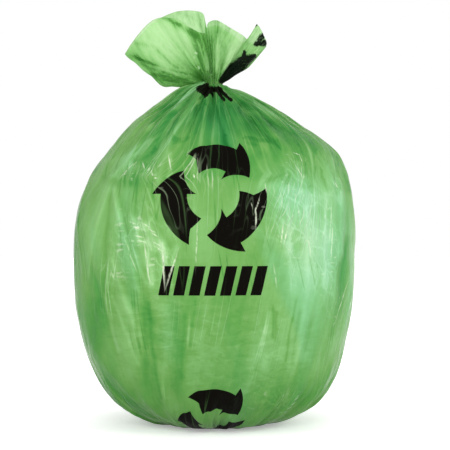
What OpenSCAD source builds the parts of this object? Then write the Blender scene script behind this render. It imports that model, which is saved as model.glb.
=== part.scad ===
// Filled bin bag, tied shut at the neck, standing on its own base.
// One film bag with its contents, and the band that holds its neck.
// Millimetres, +Z up, origin at the middle of the patch that the bag stands on.
// The printed side faces -Y.

/* [Filled body] */
// Widest diameter of the filled bag
body_d = 467; // [440:1:500]
// Height of the widest ring above the floor
belly_z = 300; // [270:1:330]
// Height of the middle of the tied neck above the floor
neck_z = 563; // [535:1:600]
// Radius of the flat patch that the bag stands on
foot_r = 70; // [60:1:100]
// How far the lower side bulges, where 2 is an ellipse
side_fullness = 2.55; // [2.3:0.05:3]
// How flat the underside is round the patch, where 2 is an ellipse
base_fullness = 3.2; // [2.6:0.05:3.6]
// How far the upper side bulges, where 2 is an ellipse
upper_fullness = 2.2; // [2:0.05:2.6]
// How slowly the shoulder narrows to the neck, where 2 is an ellipse
shoulder_fullness = 1.55; // [1.4:0.05:2]
// How far the contents push out the right shoulder
shoulder_push = 17; // [0:1:24]
// How far the left shoulder is drawn in
left_draw = 5; // [0:0.5:8]
// Height of both above the floor
shoulder_z = 440; // [425:1:460]
// How far above that height they fade out
shoulder_rise = 42; // [35:1:60]
// How far below that height they fade out
shoulder_spread = 80; // [60:5:100]
// How far the film swells on the left beside the neck
neck_swell = 11; // [0:0.5:12]
// How far it swells on the right beside the neck
right_swell = 1.5; // [0:0.5:4]
// How far the contents push out the right lower corner
corner_push = 5; // [0:0.5:8]
// Height of that corner above the floor
corner_z = 60; // [50:1:80]
// How far above and below that height the corner fades out
corner_spread = 45; // [35:1:60]
// How far the contents make the sides uneven
lump = 2; // [0:0.5:4]

/* [Gathers] */
// Number of gathers round the neck
gathers = 26; // [16:1:30]
// Depth of the gathers below the neck
gather_depth = 7; // [2:0.5:9]
// Distance out from the neck over which the gathers grow to that depth
gather_rise = 45; // [30:5:60]
// Depth of the gathers in the free film above the neck
mouth_gather = 2.5; // [0:0.5:3]
// Number of creases round the base
base_creases = 11; // [6:1:14]
// Depth of the creases round the base
crease_depth = 3; // [0:0.5:5]

/* [Neck band] */
// Radius of the gathered film inside the band
neck_r = 14; // [12:0.5:17]
// Thickness of the band's strand
strand_d = 2; // [1.5:0.5:3]
// Number of turns that the band takes round the neck
band_turns = 2; // [1:1:3]
// Gap between the gathered film and the band
band_gap = 0.2; // [0.1:0.05:0.4]
// How far the tight neck reaches past the band at each end
neck_margin = 1; // [0.5:0.5:4]

/* [Free film above the neck] */
// Length of the film from the neck to the mouth's edge
mouth_l = 160; // [140:1:180]
// Thickness of the film's wall as a solid
film_wall = 1; // [0.8:0.1:1.2]
// Height that the film rises before it spreads
collar_h = 11; // [9:1:14]
// How much higher a fold rises first for each millimetre that it sags later
collar_lift = 0.12; // [0.08:0.02:0.2]

/* [Resolution] */
// Points round each ring above the widest one, with half as many below it
ring_points = 144; // [96:12:156]
// Rings from the base to the neck
body_rings = 28; // [20:2:32]
// Rings from the neck to the mouth's edge
mouth_rings = 9; // [7:1:11]

/* [Hidden] */

body_r = body_d / 2;
// The strand's turns overlap a little, so that the wound band is one solid
turn_pitch = strand_d * 0.92;
band_h = turn_pitch * (band_turns - 1) + strand_d;
neck_bottom = neck_z - band_h / 2 - neck_margin;
neck_top = neck_z + band_h / 2 + neck_margin;

// Shares of the way from the base to the neck at which folds start and are full
gather_start = 0.62;
gather_full = 0.9;
crease_full = 0.06;
crease_end = 0.3;
// How far below the neck the film swells most, how far up and down that
// fades, and the distance out from the neck over which it grows
swell_drop = 11;
swell_fade = 16;
swell_rise = 24;

// Edge of the mouth, as places right of, behind and above the neck's top for
// film that is rim_nominal long. The last value is how far that fold sags.
// The list runs from the right past the front, the left and the back.
rim_nominal = 160;
rim = [
    [86, 4, 65, 24],
    [84, -16, 79, 12],
    [70, -30, 98, 12],
    [59, -10, 76, 0],
    [44, -30, 82, 4],
    [24, -36, 93, 6],
    [5, -32, 104, 2],
    [-10, -24, 100, 0],
    [-16, -8, 86, 0],
    [-34, -26, 89, 0],
    [-64, -34, 106, 10],
    [-98, -30, 106, 22],
    [-127, -18, 81, 78],
    [-148, 0, 53, 72],
    [-128, 16, 80, 78],
    [-99, 26, 111, 20],
    [-62, 30, 128, 4],
    [-20, 27, 125, 0],
    [-14, 6, 98, 0],
    [2, 26, 104, 0],
    [18, 32, 97, 4],
    [36, 30, 85, 2],
    [50, 14, 72, 0],
    [70, 26, 74, 6]
];
// Where each fold bends outwards, as shares of its edge's place
bend_share = [0.54, 0.75, 0.5];
// Shares of the free film's length at which its own pleats start and are full
ripple_start = 0.3;
ripple_full = 0.9;
// Share of the free film's length at which the hollow inside it ends
hollow_start = 0.24;
hollow_rings = mouth_rings - 2;

function smooth(a, b, x) = let(t = min(1, max(0, (x - a) / (b - a)))) t * t * (3 - 2 * t);
function sum(list, upto) = upto == 0 ? 0 : list[upto - 1] + sum(list, upto - 1);
function mean(list) = [for (k = [0 : 2]) [for (p = list) p[k]] * [for (p = list) 1] / len(list)];

// Point at radius r and height z, u turns clockwise from the right, seen from above
function around(u, r, z) = [r * cos(-360 * u), r * sin(-360 * u), z];

// Superellipse angles at which the profile meets the base and the neck
foot_angle = asin(pow(foot_r / body_r, base_fullness / 2));
neck_angle = asin(pow(neck_r / body_r, shoulder_fullness / 2));
lower_reach = belly_z / pow(cos(foot_angle), 2 / side_fullness);
upper_reach = (neck_bottom - belly_z) / pow(cos(neck_angle), 2 / upper_fullness);

// Radius and height of the plain body at w, from 0 at the base to 1 at the neck
function profile(w) =
    w < 0.5
    ? let(a = foot_angle + (90 - foot_angle) * 2 * w)
      [body_r * pow(sin(a), 2 / base_fullness),
       belly_z - lower_reach * pow(cos(a), 2 / side_fullness)]
    : let(a = neck_angle + (90 - neck_angle) * 2 * (1 - w))
      [body_r * pow(sin(a), 2 / shoulder_fullness),
       belly_z + upper_reach * pow(max(0, cos(a)), 2 / upper_fullness)];

// Outward direction of the plain body at w, as radius and height
function profile_normal(w) =
    let(step = 0.01,
        d = profile(min(1, w + step)) - profile(max(0, w - step)))
    [d[1], -d[0]] / norm(d);

// Folds, from 0 in a valley to 1 on a ridge, round u from 0 to 1. The two
// waves inside make them unevenly wide.
function fold(u, count) =
    abs(cos(180 * count * u + 38 * sin(360 * 3 * u + 20) + 25 * sin(360 * 5 * u)));

// Slow unevenness of the sides, from about -1.6 to 1.6
function unevenness(u, w) = sin(360 * 2 * u + 200 * w + 80) + 0.6 * sin(360 * 3 * u - 260 * w + 130);

// Bell curve of x round a middle, 1 there and small two spreads away
function bell(x, middle, spread) = exp(-pow((x - middle) / spread, 2));

// How far the film stands off the plain body at u round it and w up it
function standoff(u, w) =
    let(p = profile(w),
        off_neck = smooth(neck_r, neck_r + gather_rise, p[0]),
        off_band = smooth(neck_r, neck_r + swell_rise, p[0]),
        gathered = smooth(gather_start, gather_full, w) * off_neck,
        creased = smooth(0, crease_full, w) * (1 - smooth(crease_full, crease_end, w)),
        sides = smooth(0, crease_end, w) * (1 - smooth(gather_start, 1, w)),
        to_right = smooth(-0.4, 1, cos(360 * u)),
        to_left = smooth(-0.4, 1, -cos(360 * u)),
        fade = p[1] > shoulder_z ? shoulder_rise : shoulder_spread)
    (shoulder_push * to_right - left_draw * to_left) * bell(p[1], shoulder_z, fade) * off_neck
    + (neck_swell * to_left + right_swell * to_right) * bell(p[1], neck_z - swell_drop, swell_fade) * off_band
    + corner_push * to_right * bell(p[1], corner_z, corner_spread) * smooth(0, crease_full, w)
    + lump * unevenness(u, w) * sides
    - gather_depth * (1 - fold(u, gathers)) * gathered
    - crease_depth * (1 - fold(u, base_creases)) * creased;

// A point of the filled body's film
function body_point(u, w) =
    let(p = profile(w),
        n = w == 0 ? [1, 0] : profile_normal(w),
        q = p + n * standoff(u, w))
    around(u, q[0], max(0, q[1]));

// Closed smooth curve through the list, at v from 0 to 1 round it
function along(list, v) =
    let(n = len(list),
        s = (v - floor(v)) * n,
        i = floor(s),
        t = s - i,
        p0 = list[(i + n - 1) % n],
        p1 = list[i % n],
        p2 = list[(i + 1) % n],
        p3 = list[(i + 2) % n])
    (2 * p1 + (p2 - p0) * t + (2 * p0 - 5 * p1 + 4 * p2 - p3) * t * t
     + (3 * p1 - p0 - 3 * p2 + p3) * t * t * t) / 2;

// A point of the free film at u round it and t from the neck to the mouth's
// edge. Each fold is a Bezier curve that leaves the neck upwards.
function mouth_point(u, t) =
    let(k = mouth_l / rim_nominal,
        edge = along(rim, u) * k,
        start = around(u, neck_r, neck_top),
        up = start + [0, 0, collar_h + collar_lift * edge[3]],
        bend = [edge[0] * bend_share[0], edge[1] * bend_share[1],
                neck_top + edge[2] * bend_share[2] - edge[3]],
        end = [edge[0], edge[1], neck_top + edge[2]],
        s = 1 - t,
        ripple = mouth_gather * (fold(u, gathers) - 0.5) * smooth(ripple_start, ripple_full, t))
    start * s * s * s + 3 * up * s * s * t + 3 * bend * s * t * t + end * t * t * t
    + [ripple * cos(-360 * u) / 2, ripple * sin(-360 * u), 0];

// Outward direction of the free film
function mouth_normal(u, t) =
    let(du = 0.004,
        dt = 0.01,
        round = mouth_point(u + du, t) - mouth_point(u - du, t),
        out = mouth_point(u, min(1, t + dt)) - mouth_point(u, max(0, t - dt)),
        n = cross(out, round))
    n / norm(n);

// A point of the free film's inner face
function hollow_point(u, t) = mouth_point(u, t) - film_wall * mouth_normal(u, t);

// Places round the axis of a ring's n points, in turns
function turns(n) = [for (i = [0 : n - 1]) i / n];

// All rings, from the base up past the neck to the mouth's edge and down inside it
function film_rings() =
    let(coarse = turns(ring_points / 2),
        fine = turns(ring_points),
        half = body_rings / 2,
        hollow_l = 1 - hollow_start)
    concat(
        [for (j = [0 : half - 1]) [for (u = coarse) body_point(u, j / body_rings)]],
        [for (j = [half : body_rings]) [for (u = fine) body_point(u, j / body_rings)]],
        [for (z = [neck_z, neck_top]) [for (u = fine) around(u, neck_r, z)]],
        [for (j = [1 : mouth_rings]) [for (u = fine) mouth_point(u, j / mouth_rings)]],
        [for (j = [0 : hollow_rings]) [for (u = fine) hollow_point(u, 1 - hollow_l * j / hollow_rings)]]
    );

// Triangles between two rings whose points start at a and b. The second ring
// has as many points as the first, n, or twice as many.
function strip(a, n, b, m) =
    [for (i = [0 : n - 1])
        let(k = (i + 1) % n)
        each m == n
        ? [[a + i, b + i, b + k], [a + i, b + k, a + k]]
        : [[a + i, b + 2 * i, b + 2 * i + 1],
           [a + i, b + 2 * i + 1, a + k],
           [a + k, b + 2 * i + 1, b + 2 * k]]];

module film_solid() {
    rings = film_rings();
    sizes = [for (r = rings) len(r)];
    last = len(rings) - 1;
    starts = [for (j = [0 : last]) sum(sizes, j)];
    foot = sum(sizes, last + 1);
    well = foot + 1;
    polyhedron(
        points = concat([for (r = rings) each r], [[0, 0, 0], mean(rings[last])]),
        faces = concat(
            [for (j = [0 : last - 1]) each strip(starts[j], sizes[j], starts[j + 1], sizes[j + 1])],
            [for (i = [0 : sizes[0] - 1]) [foot, i, (i + 1) % sizes[0]]],
            [for (i = [0 : sizes[last] - 1])
                [well, starts[last] + (i + 1) % sizes[last], starts[last] + i]]
        ),
        convexity = 12
    );
}

module bag() {
    color([0.36, 0.68, 0.33])
        film_solid();
}

module neck_band() {
    path_r = neck_r + band_gap + strand_d / 2;
    color([0.2, 0.5, 0.3])
        for (i = [0 : band_turns - 1])
            translate([0, 0, neck_z + (i - (band_turns - 1) / 2) * turn_pitch])
                rotate_extrude($fn = 96)
                    translate([path_r, 0])
                        circle(d = strand_d, $fn = 32);
}

bag();
neck_band();
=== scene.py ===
"""Looks of a filled bin bag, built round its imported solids.

The bag is thin translucent film. Its surface is worked out in film coordinates: turns
round the bag, and millimetres along the film from the middle of the base, over the side,
through the tied neck and up to the mouth's edge. Folds, creases and print are all laid
out in those coordinates, so they run into the neck and out of it again as on real film.
"""

import logging
from dataclasses import dataclass
from enum import Enum

import bpy
import numpy as np
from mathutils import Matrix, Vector


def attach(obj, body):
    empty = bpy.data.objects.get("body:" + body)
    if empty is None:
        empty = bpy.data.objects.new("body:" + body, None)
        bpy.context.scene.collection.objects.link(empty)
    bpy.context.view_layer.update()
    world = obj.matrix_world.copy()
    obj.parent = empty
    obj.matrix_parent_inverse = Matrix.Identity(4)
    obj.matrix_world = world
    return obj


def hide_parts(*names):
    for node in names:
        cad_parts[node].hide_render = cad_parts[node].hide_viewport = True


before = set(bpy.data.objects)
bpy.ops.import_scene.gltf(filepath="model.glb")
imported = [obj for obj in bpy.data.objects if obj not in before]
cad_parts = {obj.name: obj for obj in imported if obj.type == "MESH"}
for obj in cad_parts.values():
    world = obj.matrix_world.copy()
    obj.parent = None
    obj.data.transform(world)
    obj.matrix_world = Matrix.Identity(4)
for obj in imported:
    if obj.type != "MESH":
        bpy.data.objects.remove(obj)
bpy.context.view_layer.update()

Array = np.ndarray
Socket = bpy.types.NodeSocket
Mesh = bpy.types.Mesh
Object = bpy.types.Object
Material = bpy.types.Material
Pair = tuple[float, float]
Triple = tuple[float, float, float]

LOG = logging.getLogger("bin_bag")
MM = 0.001
TAU = 2 * np.pi
# Brings gradient noise to about -1 to 1
NOISE_GAIN = 1.6
# Straight creases: how much they widen, how sharp their crest is, and the shares of their
# length over which they rise and fade
CREASE_WIDENING = 0.7
CREASE_SHARPNESS = 1.3
CREASE_RISE = (-0.05, 0.15)
CREASE_FADE = (0.75, 1.05)
# Distances, in half widths, over which a thick stroke fades at its rim
STROKE_RIM = (0.6, 1.5)
# Share of a tapered stroke that has its full amount
STROKE_CORE = 0.2


def smooth(start: float, end: float, x: Array) -> Array:
    """Eases from 0 to 1 between two values.

    Args:
        start: Value at which the result is 0.
        end: Value at which the result is 1.
        x: Values to ease.

    Returns:
        Eased shares, as t * t * (3 - 2 * t) of the clamped share t.
    """
    t = np.clip((x - start) / (end - start), 0, 1)
    return t * t * (3 - 2 * t)


def bell(x: Array, middle: float, spread: Array | float) -> Array:
    """Bell curve round a middle, 1 there and small two spreads away."""
    return np.exp(-(((x - middle) / spread) ** 2))


def ridge(off: Array, width: Array | float, sharpness: float) -> Array:
    """Crest that falls off on both sides with the distance in widths, to a power."""
    return np.exp(-((np.abs(off) / width) ** sharpness))


def half_turn(u: Array) -> Array:
    """Wraps turns to the range from -0.5 to 0.5, the same places counted the short way."""
    return (u + 0.5) % 1 - 0.5


def gradient_noise(x: Array, y: Array, period: int, seed: int) -> Array:
    """Smooth noise that repeats along x and not along y.

    Each whole number has a random slope, and a value between four of them is the eased mean
    of what their slopes give there.

    Args:
        x: Places along the repeating way, in cells.
        y: Places along the other way, in cells, from 0 upwards.
        period: Whole number of cells after which x repeats.
        seed: Seed of the slopes.

    Returns:
        Noise from about -1 to 1.
    """
    rng = np.random.default_rng(seed)
    angle = rng.uniform(0, TAU, (period, int(np.ceil(y.max())) + 2))
    i, j = np.floor(x).astype(int), np.floor(y).astype(int)
    fx, fy = x - i, y - j

    def corner(di: int, dj: int) -> Array:
        """What the slope at one corner of the cell gives at the place."""
        a = angle[(i + di) % period, j + dj]
        return np.cos(a) * (fx - di) + np.sin(a) * (fy - dj)

    sx = fx**3 * (fx * (fx * 6 - 15) + 10)
    sy = fy**3 * (fy * (fy * 6 - 15) + 10)
    low = corner(0, 0) * (1 - sx) + corner(1, 0) * sx
    high = corner(0, 1) * (1 - sx) + corner(1, 1) * sx
    return (low * (1 - sy) + high * sy) * NOISE_GAIN


def sharp_fold(x: Array) -> Array:
    """Turns a smooth field into flat panels, with a crease at each whole number."""
    return 2 * np.abs((x % 2) - 1) - 1


def crease_runs(right: Array, up: Array, rows: tuple | list) -> Array:
    """Straight creases seen from the front.

    Each is a crest across a straight run, which widens along it and fades at both ends.

    Args:
        right: Places to the right, in millimetres.
        up: Places upwards, in millimetres.
        rows: Rows of right and up at the start and at the end, a width and a height.

    Returns:
        The sum of the creases' heights.
    """
    out = np.zeros(right.shape)
    for x0, z0, x1, z1, width, height in rows:
        length = np.hypot(x1 - x0, z1 - z0)
        dx, dz = (x1 - x0) / length, (z1 - z0) / length
        along = ((right - x0) * dx + (up - z0) * dz) / length
        across = (up - z0) * dx - (right - x0) * dz
        spread = width * (1 + CREASE_WIDENING * np.clip(along, 0, 1))
        crest = height * ridge(across, spread, CREASE_SHARPNESS)
        out += crest * smooth(*CREASE_RISE, along) * (1 - smooth(*CREASE_FADE, along))
    return out


def off_stroke(x: Array, y: Array, ends: tuple) -> tuple[Array, Array]:
    """Distance to a straight stroke.

    Args:
        x: Places along one way.
        y: Places along the other way.
        ends: Both places of its start and of its end.

    Returns:
        Distances to the nearest point of the stroke, and that point's share of the way.
    """
    x0, y0, x1, y1 = ends
    dx, dy = x1 - x0, y1 - y0
    along = np.clip(((x - x0) * dx + (y - y0) * dy) / (dx * dx + dy * dy), 0, 1)
    return np.hypot(x - x0 - along * dx, y - y0 - along * dy), along


def stroke_shares(x: Array, y: Array, rows: tuple) -> Array:
    """Thick strokes with round ends.

    Args:
        x: Places along one way.
        y: Places along the other way.
        rows: Rows of both ends, half the width at each, and an amount.

    Returns:
        The largest amount among the strokes at each place, eased to 0 past half the width.
    """
    out = np.zeros(x.shape)
    for *ends, half_0, half_1, amount in rows:
        off, along = off_stroke(x, y, ends)
        half = half_0 + along * (half_1 - half_0)
        out = np.maximum(out, amount * (1 - smooth(*STROKE_RIM, off / half)))
    return out


@dataclass(frozen=True)
class BagShape:
    """Sizes of the bag in millimetres, as its solids have them."""

    body_d: float = 467.0
    belly_z: float = 300.0
    neck_z: float = 563.0
    foot_r: float = 70.0
    side_fullness: float = 2.55
    base_fullness: float = 3.2
    upper_fullness: float = 2.2
    shoulder_fullness: float = 1.55
    shoulder_push: float = 17.0
    left_draw: float = 5.0
    shoulder_z: float = 440.0
    shoulder_rise: float = 42.0
    shoulder_spread: float = 80.0
    neck_swell: float = 11.0
    right_swell: float = 1.5
    swell_drop: float = 11.0
    swell_fade: float = 16.0
    swell_rise: float = 24.0
    corner_push: float = 5.0
    corner_z: float = 60.0
    corner_spread: float = 45.0
    lump: float = 2.0
    gathers: int = 26
    gather_depth: float = 7.0
    gather_rise: float = 45.0
    base_creases: int = 11
    crease_depth: float = 3.0
    neck_r: float = 14.0
    band_h: float = 3.84
    neck_margin: float = 1.0
    mouth_l: float = 160.0
    collar_h: float = 11.0
    collar_lift: float = 0.12
    # Slow waves that disturb the folds: waves round the bag, size and start in degrees
    fold_waves: tuple = ((3, 38, 20), (5, 25, 0))
    # Slow unevenness: waves round the bag, share, degrees at the base and twist up the body
    uneven_waves: tuple = ((2, 1.0, 80, 200), (3, 0.6, 130, -260))
    # Shares of the way up over which gathers, base creases and unevenness come and go
    gathers_come: Pair = (0.62, 0.9)
    creases_come: Pair = (0, 0.06)
    creases_go: Pair = (0.06, 0.3)
    sides_come: Pair = (0, 0.3)
    sides_go: Pair = (0.62, 1)
    # Cosines over which a push towards one side comes
    side_cosines: Pair = (-0.4, 1)
    # Places at which the profile is worked out for lookups
    profile_points: int = 4001

    @property
    def body_r(self) -> float:
        """Largest radius of the filled bag."""
        return self.body_d / 2

    @property
    def neck_bottom(self) -> float:
        """Height at which the filled body ends."""
        return self.neck_z - self.band_h / 2 - self.neck_margin

    @property
    def neck_top(self) -> float:
        """Height at which the free film starts."""
        return self.neck_z + self.band_h / 2 + self.neck_margin

    @property
    def film_round(self) -> float:
        """Length of the film round the bag."""
        return np.pi * self.body_d

    def profile(self, w: Array) -> tuple[Array, Array]:
        """Plain profile of the body: two superellipses that meet at the widest ring.

        Args:
            w: Shares of the way from the base, 0, to the neck, 1.

        Returns:
            Radius and height of the plain body there.
        """
        foot_a = np.arcsin((self.foot_r / self.body_r) ** (self.base_fullness / 2))
        neck_a = np.arcsin((self.neck_r / self.body_r) ** (self.shoulder_fullness / 2))
        low_reach = self.belly_z / np.cos(foot_a) ** (2 / self.side_fullness)
        high_reach = (self.neck_bottom - self.belly_z) / np.cos(neck_a) ** (2 / self.upper_fullness)
        a_low = foot_a + (np.pi / 2 - foot_a) * 2 * np.minimum(w, 0.5)
        a_high = neck_a + (np.pi / 2 - neck_a) * 2 * (1 - np.maximum(w, 0.5))
        cos_low = np.maximum(np.cos(a_low), 0)
        cos_high = np.maximum(np.cos(a_high), 0)
        lower = w < 0.5
        r = np.where(
            lower,
            self.body_r * np.sin(a_low) ** (2 / self.base_fullness),
            self.body_r * np.sin(a_high) ** (2 / self.shoulder_fullness),
        )
        z = np.where(
            lower,
            self.belly_z - low_reach * cos_low ** (2 / self.side_fullness),
            self.belly_z + high_reach * cos_high ** (2 / self.upper_fullness),
        )
        return r, z

    def profile_normal(self, w: Array) -> tuple[Array, Array]:
        """Outward direction of the plain body.

        Args:
            w: Shares of the way from the base to the neck.

        Returns:
            Its parts along the radius and the height.
        """
        step = 0.01
        r1, z1 = self.profile(np.minimum(1, w + step))
        r0, z0 = self.profile(np.maximum(0, w - step))
        size = np.hypot(r1 - r0, z1 - z0)
        return (z1 - z0) / size, (r0 - r1) / size

    @property
    def shares(self) -> Array:
        """Even shares of the way from the base to the neck, for lookups along the film."""
        return np.linspace(0, 1, self.profile_points)

    def film_lengths(self, w: Array) -> Array:
        """Length along the film at an even row of shares that starts at the base."""
        r, z = self.profile(w)
        steps = np.hypot(np.diff(r), np.diff(z))
        return self.foot_r + np.concatenate([[0], np.cumsum(steps)])

    def film_to_share(self, s: Array) -> Array:
        """Share of the way up the body at millimetres along the film from the base's middle."""
        return np.interp(s, self.film_lengths(self.shares), self.shares)

    @property
    def neck_s(self) -> float:
        """Length along the film from the middle of the base to the neck."""
        return float(self.film_lengths(self.shares)[-1])

    def tube(self, u: Array, s: Array) -> Array:
        """Place of the film before it was gathered, as a plain tube.

        Args:
            u: Turns round the bag.
            s: Millimetres along the film.

        Returns:
            Points in metres on a tube of the film's own girth, for patterns with no seam.
        """
        x, y = self.body_r * np.cos(TAU * u), self.body_r * np.sin(TAU * u)
        return np.stack(np.broadcast_arrays(x, y, s), -1) * MM

    def fold(self, u: Array, count: int) -> Array:
        """Uneven folds round the bag, from 0 in a valley to 1 on a ridge.

        Args:
            u: Turns round the bag.
            count: Number of folds.

        Returns:
            The size of a cosine whose phase two slower waves disturb.
        """
        phase = np.pi * count * u
        for waves, size, start in self.fold_waves:
            phase = phase + np.radians(size) * np.sin(TAU * waves * u + np.radians(start))
        return np.abs(np.cos(phase))

    def standoff(self, u: Array, w: Array) -> Array:
        """How far the solid's film stands off the plain body.

        Args:
            u: Turns round the bag.
            w: Shares of the way from the base to the neck.

        Returns:
            Distances outwards: the contents' pushes and the slow unevenness, less the gathers
            below the neck and the creases round the base.
        """
        r, z = self.profile(w)
        off_neck = smooth(self.neck_r, self.neck_r + self.gather_rise, r)
        off_band = smooth(self.neck_r, self.neck_r + self.swell_rise, r)
        gathered = smooth(*self.gathers_come, w) * off_neck
        off_foot = smooth(*self.creases_come, w)
        creased = off_foot * (1 - smooth(*self.creases_go, w))
        sides = smooth(*self.sides_come, w) * (1 - smooth(*self.sides_go, w))
        to_right = smooth(*self.side_cosines, np.cos(TAU * u))
        to_left = smooth(*self.side_cosines, -np.cos(TAU * u))
        fade = np.where(z > self.shoulder_z, self.shoulder_rise, self.shoulder_spread)
        shoulder = self.shoulder_push * to_right - self.left_draw * to_left
        swell = self.neck_swell * to_left + self.right_swell * to_right
        swell = swell * bell(z, self.neck_z - self.swell_drop, self.swell_fade)
        corner = self.corner_push * to_right * bell(z, self.corner_z, self.corner_spread)
        uneven = 0
        for waves, share, start, twist in self.uneven_waves:
            uneven = uneven + share * np.sin(TAU * waves * u + np.radians(twist * w + start))
        return (
            shoulder * bell(z, self.shoulder_z, fade) * off_neck
            + swell * off_band
            + corner * off_foot
            + self.lump * uneven * sides
            - self.gather_depth * (1 - self.fold(u, self.gathers)) * gathered
            - self.crease_depth * (1 - self.fold(u, self.base_creases)) * creased
        )


@dataclass(frozen=True)
class View:
    """The photo's view: level and from the front. Lengths are in millimetres."""

    frame_px: int = 450
    mm_per_px: float = 1.675
    axis_px: Pair = (214.0, 214.0)
    axis_z: float = 350.0
    distance: float = 2400.0
    # Rounds in which a line of sight is followed, and its largest sine round the bag
    rounds: int = 6
    widest_sine: float = 0.98

    @property
    def middle(self) -> float:
        """Pixels from the picture's edges to its middle."""
        return self.frame_px / 2

    @property
    def eye(self) -> Array:
        """Place of the camera."""
        right, down = ((self.middle - px) * self.mm_per_px for px in self.axis_px)
        return np.array([right, -self.distance, self.axis_z - down])

    def pixels(self, points: Array) -> tuple[Array, Array]:
        """Where points are seen.

        Args:
            points: Points in millimetres.

        Returns:
            Their pixels from the picture's left and top edges.
        """
        scale = self.distance / (points[..., 1] - self.eye[1]) / self.mm_per_px
        from_left = self.middle + (points[..., 0] - self.eye[0]) * scale
        from_top = self.middle - (points[..., 2] - self.eye[2]) * scale
        return from_left, from_top

    def on_film(self, shape: BagShape, x: float, y: float) -> Array:
        """Film coordinates of what is seen at a pixel of the bag's front.

        Args:
            shape: The bag's sizes.
            x: Pixels from the picture's left edge.
            y: Pixels from its top edge.

        Returns:
            Metres round the film and along it. The line of sight is followed to the plain
            body in rounds, each from the depth that the last one gave.
        """
        radii, heights = shape.profile(shape.shares)
        lengths = shape.film_lengths(shape.shares)
        depth = shape.body_r
        for _ in range(self.rounds):
            scale = (self.distance - depth) / self.distance * self.mm_per_px
            right = self.eye[0] + (x - self.middle) * scale
            up = self.eye[2] - (y - self.middle) * scale
            r = np.interp(up, heights, radii)
            sine = np.clip(right / r, -self.widest_sine, self.widest_sine)
            depth = r * np.sqrt(1 - sine**2)
        around = np.arcsin(sine) / TAU * shape.film_round
        return np.array([around, np.interp(up, heights, lengths)]) * MM


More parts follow.
